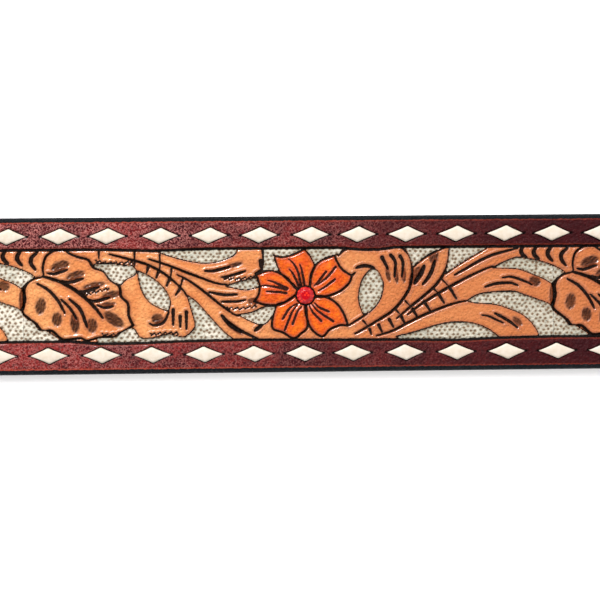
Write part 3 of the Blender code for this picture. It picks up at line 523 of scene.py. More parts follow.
# %% Where the stitches are
ROWS = {
    "upper": {
        "pitch": 12.04 * MM, "phase": 0.83 * MM, "lean": 0.13,
        "by_hand": (0.65, 0.1, -0.1, 0.1, 0, -0.4, -0.36, 0, -0.5, 0.2, 0.1, 0.2),
    },
    "lower": {
        "pitch": 12.36 * MM, "phase": -0.3 * MM, "lean": -0.1,
        "by_hand": (-0.07, -0.68, -0.15, -0.07, 0.05, 0, 0, 0.27, 0.17, 0.34, 0.15),
    },
}
DIAMOND_HALF = (4.2 * MM, 1.95 * MM)
SLIT_TIP = 0.6 * MM
SLIT_TIP_HALF = 0.1 * MM
for name, row in ROWS.items():
    low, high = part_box(f"buckstitch_lace_{name}")
    row["y"] = (low.y + high.y) / 2
    middle = flower_xs[2] + row["phase"]
    first = round((low.x + DIAMOND_HALF[0] - middle) / row["pitch"])
    last = round((high.x - DIAMOND_HALF[0] - middle) / row["pitch"])
    row["start"] = middle + first * row["pitch"]
    offs = row["by_hand"]
    row["xs"] = [middle + i * row["pitch"] + offs[i % len(offs)] * MM for i in range(first, last + 1)]
    print(name, "row:", len(row["xs"]), "stitches at y", round(row["y"] / MM, 2), "mm")


def diamond_reach(x, y):
    """Signed distance in mm from the nearest diamond's edge, less than 0 inside it."""
    best = np.full(x.shape, FAR_AWAY)
    half_x, half_y = DIAMOND_HALF
    for row in ROWS.values():
        xs = np.array(row["xs"])
        nearest = xs[np.clip(np.round((x - row["start"]) / row["pitch"]).astype(int), 0, len(xs) - 1)]
        across = y - row["y"]
        along = x - nearest - row["lean"] * across
        shape = (np.abs(along) / half_x + np.abs(across) / half_y - 1) * half_x * half_y
        past_tip = np.clip(np.abs(along) - half_x - SLIT_TIP, 0, None)
        tip = np.hypot(past_tip, across) - SLIT_TIP_HALF
        best = np.minimum(best, np.minimum(shape / math.hypot(half_x, half_y), tip) / MM)
    return best


# %% [markdown]
# ## A length of tooled strap
# Tooling is relief on a sheet, so each motif's length is a fine grid, pressed to the relief
# worked out above, with its sides drawn down and its back closed. The distances ride along as
# named attributes, which the leather's material turns into ink, paint and dye.

# %% Selecting, naming, copying and joining
def deselect():
    """Leaves nothing selected."""
    if bpy.context.object and bpy.context.object.mode != "OBJECT":
        bpy.ops.object.mode_set(mode="OBJECT")
    bpy.ops.object.select_all(action="DESELECT")


def take(piece):
    """Selects one object and makes it active."""
    deselect()
    piece.select_set(True)
    bpy.context.view_layer.objects.active = piece


def named(name):
    """Names the newest object and its mesh, and puts its place into its mesh."""
    piece = bpy.context.object
    bpy.ops.object.transform_apply(location=True, rotation=True, scale=True)
    piece.name = piece.data.name = name
    return piece


def copied(piece, name, place):
    """A copy of a piece with its own mesh, moved to a place."""
    copy = bpy.data.objects.new(name, piece.data.copy())
    copy.data.transform(Matrix.Translation(place))
    bpy.context.scene.collection.objects.link(copy)
    return copy


def joined(name, pieces):
    """Joins pieces into the first of them and names it."""
    deselect()
    for piece in pieces:
        piece.select_set(True)
    bpy.context.view_layer.objects.active = pieces[0]
    bpy.ops.object.join()
    pieces[0].name = pieces[0].data.name = name
    return pieces[0]


# %% Edit mode, and dressing a finished piece
def edge_distances(piece, distance_at):
    """Stores how far in mm every point of a piece is from its cut edge."""
    layer = piece.data.attributes.new("edge", "FLOAT", "POINT")
    for vertex, value in zip(piece.data.vertices, layer.data):
        value.value = distance_at(vertex.co)


def edit(mode="FACE"):
    """Opens edit mode with nothing selected."""
    bpy.ops.object.mode_set(mode="EDIT")
    bpy.ops.mesh.select_mode(type=mode)
    bpy.ops.mesh.select_all(action="DESELECT")


def leave_edit():
    """Goes back to object mode."""
    bpy.ops.object.mode_set(mode="OBJECT")


def dress(piece, material, slot, *nodes):
    """Gives a piece its material and body, and hides the nodes it replaces. The slot is not used."""
    piece.data.materials.clear()
    piece.data.materials.append(material)
    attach(piece, "root")
    if nodes:
        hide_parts(*nodes)
    print(f"{piece.name}: {len(piece.data.polygons)} faces")
    return piece


# %% One tooled length
SPLIT_LEVEL = 1.6 * MM
past_edge_start = np.clip(np.abs(V) - EDGE_START, 0, EDGE_RADIUS)
EDGE_DROP = EDGE_RADIUS - np.sqrt(np.clip(EDGE_RADIUS**2 - past_edge_start**2, 0, None))
LIP_RISE, LIP_AT, LIP_WIDTH = 0.13, 0.38, 0.3
SLIT_DEPTH = 1.3
PUFF_RISE = 0.1
END_STRIP, END_UNDERCUT = 0.1 * MM, 0.6 * MM


def tooled_length(name, start_x):
    """A closed length of strap whose top carries one motif's relief."""
    bpy.ops.mesh.primitive_grid_add(x_subdivisions=len(columns) - 1, y_subdivisions=len(rows) - 1, size=1)
    piece = named(name)
    x = start_x + (U - u_start) * MM
    slit = diamond_reach(x, V * MM)
    lip = LIP_RISE * np.exp(-(((slit - LIP_AT) / LIP_WIDTH) ** 2))
    pit = SLIT_DEPTH * (1 - soft(slit, -0.15, 0.22))
    puff = PUFF_RISE * np.sin(np.clip(fields["rail"] / (half_mm - PANEL_REACH), 0, 1) * math.pi)
    top = THICKNESS / MM + relief - EDGE_DROP + (lip + puff) * (fields["rail"] > 0.2) - pit
    places = np.stack([x, V * MM, top * MM], axis=-1).reshape(-1, 3)
    piece.data.vertices.foreach_set("co", places.ravel())
    for field, values in {**fields, "slit": slit}.items():
        layer = piece.data.attributes.new(field, "FLOAT", "POINT")
        layer.data.foreach_set("value", np.clip(values, -FAR_AWAY, FAR_AWAY).astype(np.float32).ravel())
    piece.data.shade_smooth()
    take(piece)
    edit("EDGE")
    bpy.ops.mesh.select_non_manifold(extend=False)
    bpy.ops.mesh.extrude_edges_move()
    leave_edit()
    for vertex in piece.data.vertices:
        if vertex.select:
            vertex.co.z = SPLIT_LEVEL
            from_middle = vertex.co.x - start_x - MOTIF / 2
            if abs(from_middle) > MOTIF / 2 - END_STRIP and abs(vertex.co.y) < STRAP_HALF - MM:
                vertex.co.x -= math.copysign(END_UNDERCUT, from_middle)
    edit("EDGE")
    bpy.ops.mesh.select_non_manifold(extend=False)
    bpy.ops.mesh.edge_face_add()
    leave_edit()
    for face in piece.data.polygons:
        face.use_smooth = face.index < (len(columns) - 1) * (len(rows) - 1)
    return piece


lengths = []
for i in range(len(flower_xs)):
    lengths.append(tooled_length(f"tooled_length_{i + 1}", tooling_start + i * MOTIF))

# %% [markdown]
# ## Colours, and masks from distances
# A mask says where a colour goes: it is 0 on one side of an edge and 1 on the other. Most of the
# tooled leather's masks come from the attributes above. Noise roughens their edges a little,
# because dye and ink bleed along the fibres.

# %% Node helpers
STUDIO_LIGHT = 1.42
GRAIN_DEPTH = 0.4 * MM


def srgb(red, green, blue):
    """A colour as a screen shows it under the studio's light, as the linear colour that a shader wants."""
    shares = [c / 255 for c in (red, green, blue)]
    linear = [c / 12.92 if c <= 0.04045 else ((c + 0.055) / 1.055) ** 2.4 for c in shares]
    return (*(value / STUDIO_LIGHT for value in linear), 1)


class Nodes:
    """Short names for the nodes that a material is made of."""

    def __init__(self, tree):
        self.tree = tree

    def add(self, kind, **settings):
        """A new node with its settings."""
        node = self.tree.nodes.new(kind)
        for key, value in settings.items():
            setattr(node, key, value)
        return node

    def put(self, socket, value):
        """Links a socket to another, or gives it a plain value."""
        if isinstance(value, bpy.types.NodeSocket):
            self.tree.links.new(value, socket)
        else:
            socket.default_value = value

    def math(self, operation, one, two=0.0, clamp=False):
        """The result of one sum. The four helpers below are its common kinds."""
        node = self.add("ShaderNodeMath", operation=operation, use_clamp=clamp)
        self.put(node.inputs[0], one)
        self.put(node.inputs[1], two)
        return node.outputs[0]

    def times(self, one, two):
        return self.math("MULTIPLY", one, two)

    def plus(self, one, two, clamp=False):
        return self.math("ADD", one, two, clamp)

    def minus(self, one, two):
        return self.math("SUBTRACT", one, two)

    def size(self, one):
        """A number without its sign."""
        return self.math("ABSOLUTE", one)

    def xyz(self, vector):
        """A vector's parts, as the sockets X, Y and Z."""
        node = self.add("ShaderNodeSeparateXYZ")
        self.put(node.inputs[0], vector)
        return node.outputs

    def bumped(self, height):
        """A normal that is tilted by a height, for leather's grain and creases."""
        node = self.add("ShaderNodeBump")
        node.inputs["Strength"].default_value = 1.0
        node.inputs["Distance"].default_value = GRAIN_DEPTH
        self.put(node.inputs["Height"], height)
        return node.outputs[0]

    def mix(self, mask, one, two):
        """Colour one where the mask is 0, and colour two where it is 1."""
        node = self.add("ShaderNodeMix", data_type="RGBA")
        self.put(node.inputs["Factor"], mask)
        self.put(node.inputs[6], one)
        self.put(node.inputs[7], two)
        return node.outputs[2]

    def over(self, base, colour, mask, strength=1.0):
        """A screen colour laid over a base where the mask is 1, as strongly as asked."""
        mask = mask if strength == 1.0 else self.times(mask, strength)
        return self.mix(mask, base, srgb(*colour))

    def step(self, value, low, high, start=0.0, end=1.0):
        """A smooth mask from start, where the value is low, to end, where it is high."""
        node = self.add("ShaderNodeMapRange", interpolation_type="SMOOTHSTEP")
        sockets = ("Value", "From Min", "From Max", "To Min", "To Max")
        for name, amount in zip(sockets, (value, low, high, start, end)):
            self.put(node.inputs[name], amount)
        return node.outputs[0]

    def noise(self, scale, detail=3.0, place=None, roughness=0.5):
        """Cloudy values about 0.5, finer as the scale grows."""
        node = self.add("ShaderNodeTexNoise")
        self.put(node.inputs["Scale"], scale)
        self.put(node.inputs["Detail"], detail)
        self.put(node.inputs["Roughness"], roughness)
        if place is not None:
            self.put(node.inputs["Vector"], place)
        return node.outputs[0]

    def attribute(self, name):
        """A number stored on the mesh."""
        return self.add("ShaderNodeAttribute", attribute_name=name).outputs["Fac"]

    def group(self, tree, **values):
        """A node group placed with its own values."""
        node = self.add("ShaderNodeGroup", node_tree=tree)
        for name, value in values.items():
            self.put(node.inputs[name.replace("_", " ")], value)
        return node.outputs


# %% New materials and node groups
def new_material(name):
    """A material with a Principled BSDF, and the helper that adds its nodes."""
    material = bpy.data.materials.new(name)
    material.use_nodes = True
    nodes = Nodes(material.node_tree)
    nodes.place = nodes.add("ShaderNodeTexCoord").outputs["Object"]
    print("material", name)
    return material, nodes, material.node_tree.nodes["Principled BSDF"]


def new_group(name, inputs, outputs):
    """A shader node group with named inputs and outputs, given as name: (kind, default)."""
    tree = bpy.data.node_groups.new(name, "ShaderNodeTree")
    for words, (kind, default) in inputs.items():
        socket = tree.interface.new_socket(words, in_out="INPUT", socket_type=kind)
        if default is not None:
            socket.default_value = default
    for words, kind in outputs.items():
        tree.interface.new_socket(words, in_out="OUTPUT", socket_type=kind)
    nodes = Nodes(tree)
    given = nodes.add("NodeGroupInput").outputs
    result = nodes.add("NodeGroupOutput").inputs
    print("node group", name)
    return tree, nodes, given, result


FLOAT, COLOUR, VECTOR = "NodeSocketFloat", "NodeSocketColor", "NodeSocketVector"

# %% [markdown]
# ## Grain, a group that every leather shares
# Cowhide has a pebbled grain of cells under a millimetre, crossed by finer creases, and its dye
# is never even: it has small specks and slow blotches. A drift from light to dark and back over
# two motifs is partly the dye's own tone and partly painted shade, where the light falls off
# along the belt. The group gives a height for bumps and a mask for each of these.

# %% The grain group
grain_group, g, given, result = new_group(
    "leather_grain", {"Place": (VECTOR, None), "Scale": (FLOAT, 1600.0)},
    {"Height": FLOAT, "Mottle": FLOAT, "Speck": FLOAT, "Tone_and_shade_drift": FLOAT},
)
cells = g.add("ShaderNodeTexVoronoi", feature="SMOOTH_F1")
g.put(cells.inputs["Vector"], given["Place"])
g.put(cells.inputs["Scale"], given["Scale"])
fine = g.noise(g.times(given["Scale"], 1.1), 4.0, given["Place"], 0.65)
slow = g.noise(g.times(given["Scale"], 0.06), 4.0, given["Place"], 0.6)
height = g.plus(g.times(cells.outputs["Distance"], -0.9), g.times(fine, 1.0))
g.put(result["Height"], height)
g.put(result["Mottle"], g.step(slow, 0.38, 0.62))
# Painted shade, partly the dye's own tone: a sine along the belt, 0.5 at the middle flower and darkest half
# a motif towards the tip.
turn = g.times(g.minus(g.xyz(given["Place"])["X"], flower_xs[2]), math.pi / MOTIF)
g.put(result["Tone_and_shade_drift"], g.plus(g.times(g.math("SINE", turn), 0.5), 0.5))
g.put(result["Speck"], g.step(g.plus(fine, g.times(cells.outputs["Distance"], 0.25)), 0.5, 0.8))

# %% [markdown]
# ## Burgundy dye, a group for the borders, the plain ends and the keeper
# The dye is darkest in the grain's hollows. Pale glints on the crests of fine wrinkles are painted
# highlights, stronger on the upper border and fading where the drift's painted shade is dark.
# Towards the cut edge the dye thins to a rusty line, and then a slate-black coat covers the edge
# itself. The group needs only the distance to that edge.

# %% The dye group
dye_and_sheen_group, g, given, result = new_group(
    "burgundy_dye_and_sheen", {"Place": (VECTOR, None), "Edge": (FLOAT, FAR_AWAY)},
    {"Color": COLOUR, "Roughness": FLOAT, "Height": FLOAT, "Coat": FLOAT},
)
grain = g.group(grain_group, Place=given["Place"])
wander = g.times(g.minus(g.noise(1500.0, 3.0, given["Place"]), 0.5), 0.5)
dye = g.mix(grain["Mottle"], srgb(80, 12, 18), srgb(138, 36, 34))
dye = g.over(dye, (46, 6, 16), grain["Speck"], 0.85)
# Painted shade, partly the dye's own tone: darker where the drift is high.
dye = g.over(dye, (50, 6, 12), grain["Tone_and_shade_drift"], 0.9)
edge_place = g.plus(given["Edge"], wander)
# Painted highlight: pale glints on the crests of fine wrinkles, in patches, stronger on the upper border
# (+Y), and fading where the drift's painted shade is dark.
wrinkles = g.size(g.minus(g.noise(1300.0, 3.0, given["Place"], 0.65), 0.5))
wrinkle_glints = g.step(wrinkles, 0.06, 0.0, 0.0, 0.95)
glint_patches = g.step(g.noise(240.0, 4.0, given["Place"], 0.7), 0.4, 0.6, 0.55, 1.0)
glint_patches = g.times(glint_patches, g.step(g.xyz(given["Place"])["Y"], -0.01, 0.01, 0.62, 1.0))
wrinkle_glints = g.times(g.times(wrinkle_glints, glint_patches), g.minus(1.0, grain["Tone_and_shade_drift"]))
dye = g.over(dye, (206, 128, 120), wrinkle_glints)
# The rusty line fades where the drift's painted shade is dark.
rust = g.minus(0.78, g.times(grain["Tone_and_shade_drift"], 0.45))
dye = g.over(dye, (172, 66, 42), g.times(g.step(edge_place, 1.6, 1.26), rust))
edge_coat = g.step(edge_place, 1.26, 1.12)
g.put(result["Color"], g.over(dye, (12, 17, 22), edge_coat))
g.put(result["Roughness"], g.plus(g.times(grain["Speck"], 0.12), 0.36))
g.put(result["Height"], grain["Height"])
g.put(result["Coat"], edge_coat)

# %% [markdown]
# ## The tooled leather's finish
# On the real belt the leather is dyed tan, the petals are painted orange and the sunk ground
# cream, dark ink stays in the cuts, and the borders are dyed burgundy. The material works in the
# same layers, from the tan up to the borders: each colour is laid over the one before it through
# a mask of its own. Paint, ink and the borders are dull, and the tan and the petals keep a gloss.

# %% Where the tooled leather's colours go
tooled, n, leather = new_material("tooled_leather")
grain = n.group(grain_group, Place=n.place)
wobble = n.times(n.minus(n.noise(1500.0, 3.0, n.place), 0.5), 0.5)
across_mm = n.times(n.size(n.xyz(n.place)["Y"]), 1 / MM)
edge = n.minus(half_mm, across_mm)


def mask_of(name, low, high, rough=1.0):
    """A mask from an attribute's distance, with its edge roughened."""
    value = n.plus(n.attribute(name), n.times(wobble, rough))
    return n.step(value, low, high)


# %% Tan leather and orange petals
tan = n.mix(grain["Mottle"], srgb(230, 141, 79), srgb(244, 167, 103))
tan = n.over(tan, (186, 96, 50), grain["Speck"], 0.4)
streaks = n.noise(420.0, 5.0, n.place, 0.7)
tan = n.over(tan, (196, 110, 56), n.step(streaks, 0.45, 0.75, 0.0, 0.5))
# Painted shade, partly the tan's own tone: darker and redder where the drift is high.
tan = n.over(tan, (194, 108, 60), grain["Tone_and_shade_drift"], 0.8)
petal_colour = n.mix(n.step(streaks, 0.35, 0.7), srgb(250, 118, 6), srgb(214, 76, 2))
petal_colour = n.over(petal_colour, (196, 56, 6), grain["Speck"], 0.4)
petal_colour = n.over(petal_colour, (200, 56, 4), n.step(n.attribute("stroke"), 1.0, 0.1, 0.0, 0.5))
petal_rim = n.plus(n.attribute("petal"), n.times(wobble, 1.5))
petal_colour = n.over(petal_colour, (190, 58, 4), n.step(petal_rim, -1.5, -0.2, 0.0, 0.42))
petal = mask_of("petal", 0.05, -0.1, 0.3)
panel = n.mix(petal, tan, petal_colour)
panel = n.over(panel, (158, 74, 34), n.attribute("halo"), 0.36)
stamp_mask = n.times(n.step(n.attribute("stamp"), 0.0, 0.82), n.step(streaks, 0.3, 0.6, 0.82, 1.0))
panel = n.over(panel, (42, 15, 6), stamp_mask, 0.96)

# %% Shading, painted ground and ink
shade = n.plus(mask_of("cut", 0.95, -0.1, 0.9), n.step(n.attribute("press"), 0.05, 0.36), clamp=True)
panel = n.over(panel, (148, 66, 28), shade, 0.52)
paint = n.mix(grain["Mottle"], srgb(207, 203, 187), srgb(239, 230, 214))
# Painted shade: the ground's paint is greyer where the drift is high.
paint = n.over(paint, (158, 153, 136), grain["Tone_and_shade_drift"], 0.5)
pit_reach = n.plus(n.attribute("pit"), n.times(wobble, 1.1))
paint = n.over(paint, (158, 144, 118), n.step(pit_reach, 0.7, 0.34, 0.0, 0.5))
paint = n.over(paint, (112, 80, 54), n.step(pit_reach, 0.46, 0.2, 0.0, 0.85))
paint = n.over(paint, (120, 104, 84), n.step(n.attribute("ground"), -0.9, -0.1, 0.0, 0.35))
ground = mask_of("ground", 0.02, -0.14, 0.4)
panel = n.mix(ground, panel, paint)
ink = mask_of("cut", 0.17, 0.02, 0.6)
panel = n.over(panel, (9, 5, 4), ink, 0.98)
stroke = mask_of("stroke", 0.16, 0.02, 0.5)
panel = n.over(panel, (18, 7, 5), stroke, 0.96)

# %% Dyed borders and the gloss
border = n.group(dye_and_sheen_group, Place=n.place, Edge=edge)
rail = mask_of("rail", -0.1, 0.12, 0.5)
border_glow = n.step(n.plus(n.attribute("rail"), wobble), 0.3, 0.8, 0.45, 0.0)
burgundy = n.over(border["Color"], (160, 62, 40), n.times(border_glow, n.minus(1.0, border["Coat"])))
# Painted shadow: a dark rim round each slit's diamond and along its tips, where the leather's lips drop
# into the slit.
slit_painted_shadow = mask_of("slit", 0.3, 0.1, 0.4)
burgundy = n.over(burgundy, (34, 16, 18), slit_painted_shadow)
surface = n.mix(rail, panel, burgundy)
border_line = n.step(n.plus(n.size(n.attribute("rail")), n.times(wobble, 0.9)), 0.44, 0.26)
surface = n.over(surface, (9, 5, 5), border_line, 0.98)
n.put(leather.inputs["Base Color"], surface)
panel_roughness = n.plus(n.times(ground, 0.25), n.times(grain["Speck"], 0.12))
n.put(leather.inputs["Roughness"], n.plus(panel_roughness, 0.3))
marks = n.plus(n.plus(ink, stroke), n.times(stamp_mask, 0.9))
rail_dull = n.math("MAXIMUM", n.plus(n.times(grain["Tone_and_shade_drift"], 0.15), 0.85), border["Coat"])
dull = n.plus(n.plus(ground, marks), n.times(rail, rail_dull), clamp=True)
n.put(leather.inputs["Coat Weight"], n.minus(1.0, dull))
leather.inputs["Coat Roughness"].default_value = 0.18
leather.inputs["Specular IOR Level"].default_value = 0.08
n.put(leather.inputs["Normal"], n.bumped(grain["Height"]))
for piece in lengths:
    dress(piece, tooled, "strap_leather", "tooled_strap")

# %% [markdown]
# ## Sweeping a section along a line
# The strap's band, the keeper, the buckle's wire and its prong are each one section that is carried
# along a flat line. A grid does it: one way of the grid follows the line, and the other way goes
# round the section. Its seams are merged and its open ends are filled.

# %% The sweep
X_WAY, Y_WAY, Z_WAY = np.eye(3)


def sweep(name, line, section_at, ways, closed=False):
    """A closed mesh, from mm. ways are the line's first and second way and the section's side way."""
    line = np.array(line, float)
    if closed:
        ahead = np.roll(line, -1, axis=0) - np.roll(line, 1, axis=0)
        stations = list(range(len(line))) + [0]
    else:
        ahead = np.vstack([line[1:2] - line[:1], line[2:] - line[:-2], line[-1:] - line[-2:-1]])
        stations = list(range(len(line)))
    ahead /= np.linalg.norm(ahead, axis=1)[:, None]
    sections = [section_at(i) for i in range(len(line))]
    count = len(sections[0])
    bpy.ops.mesh.primitive_grid_add(x_subdivisions=len(stations) - 1, y_subdivisions=count, size=1)
    piece = named(name)
    places = []
    for k in list(range(count)) + [0]:
        for i in stations:
            side, rise = sections[i][k]
            first, second = line[i] + rise * np.array((-ahead[i][1], ahead[i][0]))
            places.append((ways[0] * first + ways[1] * second + ways[2] * side) * MM)
    piece.data.vertices.foreach_set("co", np.array(places).ravel())
    take(piece)
    edit("VERT")
    bpy.ops.mesh.select_all(action="SELECT")
    bpy.ops.mesh.remove_doubles(threshold=0.000001)
    bpy.ops.mesh.fill_holes(sides=0)
    bpy.ops.mesh.select_all(action="SELECT")
    bpy.ops.mesh.normals_make_consistent(inside=False)
    leave_edit()
    piece.data.shade_smooth()
    return piece


def ring(radius, sides=18):
    """A round section."""
    turns = np.arange(sides) * 2 * math.pi / sides
    return [(radius * math.cos(a), radius * math.sin(a)) for a in turns]


def smooth_by_angle(piece, degrees=35):
    """Smooth shading that keeps edges sharper than the angle crisp."""
    take(piece)
    bpy.ops.object.shade_smooth_by_angle(angle=math.radians(degrees))


def cut_with(piece, *tools):
    """Cuts the tools out of a piece and removes them."""
    for tool in tools:
        take(piece)
        cut = piece.modifiers.new("cut", "BOOLEAN")
        cut.object, cut.solver = tool, "EXACT"
        bpy.ops.object.modifier_apply(modifier="cut")
        bpy.data.objects.remove(tool)


# %% [markdown]
# ## The rest of the strap
# Below the tooled lengths, and past both of their ends, the strap is one long band. Its middle line
# runs over the screwed fold, round the buckle's bar and down to the floor. Its top drops to the
# backs of the tooled lengths where they lie on it, and its back has a channel for each lace.

# %% The middle line, as distances from the bar and levels in mm
BAR_GAP = 0.3
WIRE_RADIUS = 2.25
HEAD_THICKNESS = 1.2
KEEPER_WALL = 1.8
half_thick = THICKNESS / MM / 2
screw_low, screw_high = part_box("fold_screw_1")
screw_xs = [middle_x(f"fold_screw_{i}") for i in (1, 2)]
HEAD_RADIUS = (screw_high.x - screw_low.x) / 2 / MM
BAR_TO_SCREW = 20
BAR_X = screw_xs[0] - BAR_TO_SCREW * MM
under_level = HEAD_THICKNESS + BAR_GAP + half_thick
clamped_level = under_level + 2 * half_thick + BAR_GAP
bend_radius = WIRE_RADIUS + BAR_GAP + half_thick
bar_level = under_level + bend_radius
keeper_low, keeper_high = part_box("keeper_loop")
keeper_level = keeper_low.z / MM + KEEPER_WALL + BAR_GAP + half_thick
keeper_from = (keeper_low.x - BAR_X) / MM - BAR_GAP
keeper_to = (keeper_high.x - BAR_X) / MM + BAR_GAP
PAST_LAST_HEAD = 3.6
turned_end = (screw_xs[1] - BAR_X) / MM + HEAD_RADIUS + PAST_LAST_HEAD
tooled_from, tooled_to = (tooling_start - BAR_X) / MM, (tooling_end - BAR_X) / MM
tip_at = (strap_high.x - BAR_X) / MM
lace_ends = [(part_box(f"buckstitch_lace_{name}")[i].x - BAR_X) / MM for i in (0, 1) for name in ROWS]
channel_from, channel_to = min(lace_ends) - BAR_GAP, max(lace_ends) + BAR_GAP
TIP_ROUNDING = 30
KEEPER_SLOPE, FOLD_SLOPE = 6, 26
STEP_HALF = 0.01


def slope(start, end, steps=12):
    """A soft slope between two (distance, level) places."""
    share = np.linspace(0, 1, steps + 1)
    rise = share * share * (3 - 2 * share)
    along, up = end[0] - start[0], end[1] - start[1]
    return [(start[0] + along * s, start[1] + up * r) for s, r in zip(share, rise)]


def level_run(start, end, level, step=6.0):
    """Even places on a level stretch."""
    return [(x, level) for x in np.linspace(start, end, max(2, round(abs(end - start) / step) + 1))]


middle_line = level_run(turned_end, 3, under_level)
for a in np.linspace(1.5 * math.pi, 0.5 * math.pi, 25):
    middle_line.append((bend_radius * math.cos(a), bar_level + bend_radius * math.sin(a)))
clamped_from = BAR_TO_SCREW - HEAD_RADIUS - 2 * BAR_GAP
middle_line += slope((0, bar_level + bend_radius), (clamped_from, clamped_level))[1:]
middle_line += slope((keeper_from - KEEPER_SLOPE, clamped_level), (keeper_from, keeper_level))
middle_line += slope((keeper_to, keeper_level), (keeper_to + KEEPER_SLOPE, clamped_level))
clamped_to = turned_end + BAR_GAP
middle_line += slope((clamped_to, clamped_level), (clamped_to + FOLD_SLOPE, half_thick), 20)
for place in (tooled_from, channel_from, channel_to, tooled_to):
    middle_line += [(place - STEP_HALF, half_thick), (place + STEP_HALF, half_thick)]
middle_line += level_run(tooled_to + 5, tip_at - TIP_ROUNDING - 5, half_thick)
tip_turns = np.radians([0, 5, 10, 15, 20, 26, 32, 38, 44, 50, 56, 62, 68, 73, 78, 82, 85, 87.5, 89, 89.8])
middle_line += [(tip_at - TIP_ROUNDING * (1 - math.sin(a)), half_thick) for a in tip_turns]


def half_width_at(distance):
    """The strap's half width in mm at a distance from the bar."""
    share = (distance - tip_at) / TIP_ROUNDING + 1
    return half_mm * (1 - min(1, share) ** 2) ** 0.4 if share > 0 else half_mm


print(len(middle_line), "places on the strap's middle line")

# %% The band
LACE_Y = ROWS["upper"]["y"] / MM
CHANNEL_HALF, CHANNEL_DEPTH, CHANNEL_LEAN = 2.5, 1.3, 0.02
corner_turns = np.linspace(0, math.pi / 2, 6)


def band_section(i):
    """The band's section at one place of its middle line."""
    distance, level = middle_line[i]
    wide = half_width_at(distance)
    flat, radius = max(wide - EDGE_RADIUS, 0), min(EDGE_RADIUS, wide)
    flat_below = level < half_thick + 0.001
    tooled_here = flat_below and tooled_from < distance < tooled_to
    top = SPLIT_LEVEL / MM - half_thick if tooled_here else half_thick
    deep = CHANNEL_DEPTH if flat_below and channel_from < distance < channel_to else 0
    upper = [(flat * share, half_thick) for share in (0, 0.25, 0.5, 0.75)]
    for a in corner_turns:
        upper.append((flat + radius * math.sin(a), half_thick - EDGE_RADIUS * (1 - math.cos(a))))
    lower = [(across, -rise) for across, rise in reversed(upper[4:])]
    outer, inner = min(LACE_Y + CHANNEL_HALF, flat * 0.9), min(LACE_Y - CHANNEL_HALF, flat * 0.6)
    lower += [(outer, -half_thick), (outer - CHANNEL_LEAN, -half_thick + deep)]
    lower += [(inner - CHANNEL_LEAN, -half_thick + deep), (inner, -half_thick)]
    lower += [(flat * 0.3, -half_thick), (0, -half_thick)]
    one_side = [(across, min(rise, top)) for across, rise in upper] + lower
    return one_side + [(-across, rise) for across, rise in reversed(one_side[1:-1])]


band = sweep("plain_strap", middle_line, band_section, (X_WAY, Z_WAY, Y_WAY))
band.data.transform(Matrix.Translation((BAR_X, 0, 0)))
print("band:", len(band.data.polygons), "faces")

# %% Its slot and holes
HOLE_COUNT = 5
HOLE_RADIUS, TIP_TO_HOLE, HOLE_SPACING = 2.5 * MM, 76.2 * MM, 25.4 * MM
POST_HOLE_RADIUS = 2.8 * MM
SLOT_HALF, SLOT_FROM, SLOT_TO = 2.9 * MM, -7.9 * MM, 4.1 * MM
BELOW, ABOVE_STRAP, ABOVE_FOLD, ABOVE_BAR = -2 * MM, 6 * MM, 13 * MM, 18 * MM
RIM_WIDTH = 0.25 * MM


def upright(name, x, radius, low, high, sides=48):
    """An upright cylinder on the strap's middle line, for cutting."""
    bpy.ops.mesh.primitive_cylinder_add(
        vertices=sides, radius=radius, depth=high - low, location=(x, 0, (low + high) / 2),
    )
    return named(name)


def block(name, place, size, turn=0.0):
    """A block, for cutting."""
    bpy.ops.mesh.primitive_cube_add(size=1, location=place, rotation=(0, 0, turn))
    bpy.context.object.scale = size
    return named(name)


def bevel(piece, width, segments, degrees=30):
    """Rounds the edges that are sharper than an angle."""
    take(piece)
    rims = piece.modifiers.new("rims", "BEVEL")
    rims.width, rims.segments = width, segments
    rims.limit_method, rims.angle_limit = "ANGLE", math.radians(degrees)
    bpy.ops.object.modifier_apply(modifier="rims")


cutters = [upright("post_hole", x, POST_HOLE_RADIUS, BELOW, ABOVE_FOLD) for x in screw_xs]
for i in range(HOLE_COUNT):
    hole_x = strap_high.x - TIP_TO_HOLE - i * HOLE_SPACING
    cutters.append(upright("belt_hole", hole_x, HOLE_RADIUS, BELOW, ABOVE_STRAP))
cutters.append(upright("slot_end", BAR_X + SLOT_TO, SLOT_HALF, BELOW, ABOVE_BAR))
slot_place = (BAR_X + (SLOT_FROM + SLOT_TO) / 2, 0, (BELOW + ABOVE_BAR) / 2)
slot_size = (SLOT_TO - SLOT_FROM, 2 * SLOT_HALF, ABOVE_BAR - BELOW)
cut_with(band, *cutters, block("slot", slot_place, slot_size))
bevel(band, RIM_WIDTH, 2, 60)
smooth_by_angle(band, 40)
tip_outline = np.array([(d, half_width_at(d)) for d, _ in middle_line if d > tip_at - TIP_ROUNDING - 1])


def band_edge(place):
    """A place's distance to the band's side or, near the tip, to its rounded outline."""
    distance, across = (place.x - BAR_X) / MM, abs(place.y) / MM
    from_side = half_mm - across
    if distance <= tip_at - TIP_ROUNDING - 8:
        return from_side
    return min(from_side, np.hypot(tip_outline[:, 0] - distance, tip_outline[:, 1] - across).min())


edge_distances(band, band_edge)
print("band:", len(band.data.polygons), "faces with its holes")

# %% [markdown]
# ## The plain leather's finish
# The plain ends and the keeper have the borders' dye. A line is creased beside each edge, and one
# across the strap where the tooling starts and ends. The back was never dyed, so past the fold it
# is brown suede, and so are the lace channels. A face's place and the way it points tell which.

# %% Plain leather for it
plain, n, plain_surface = new_material("plain_leather")
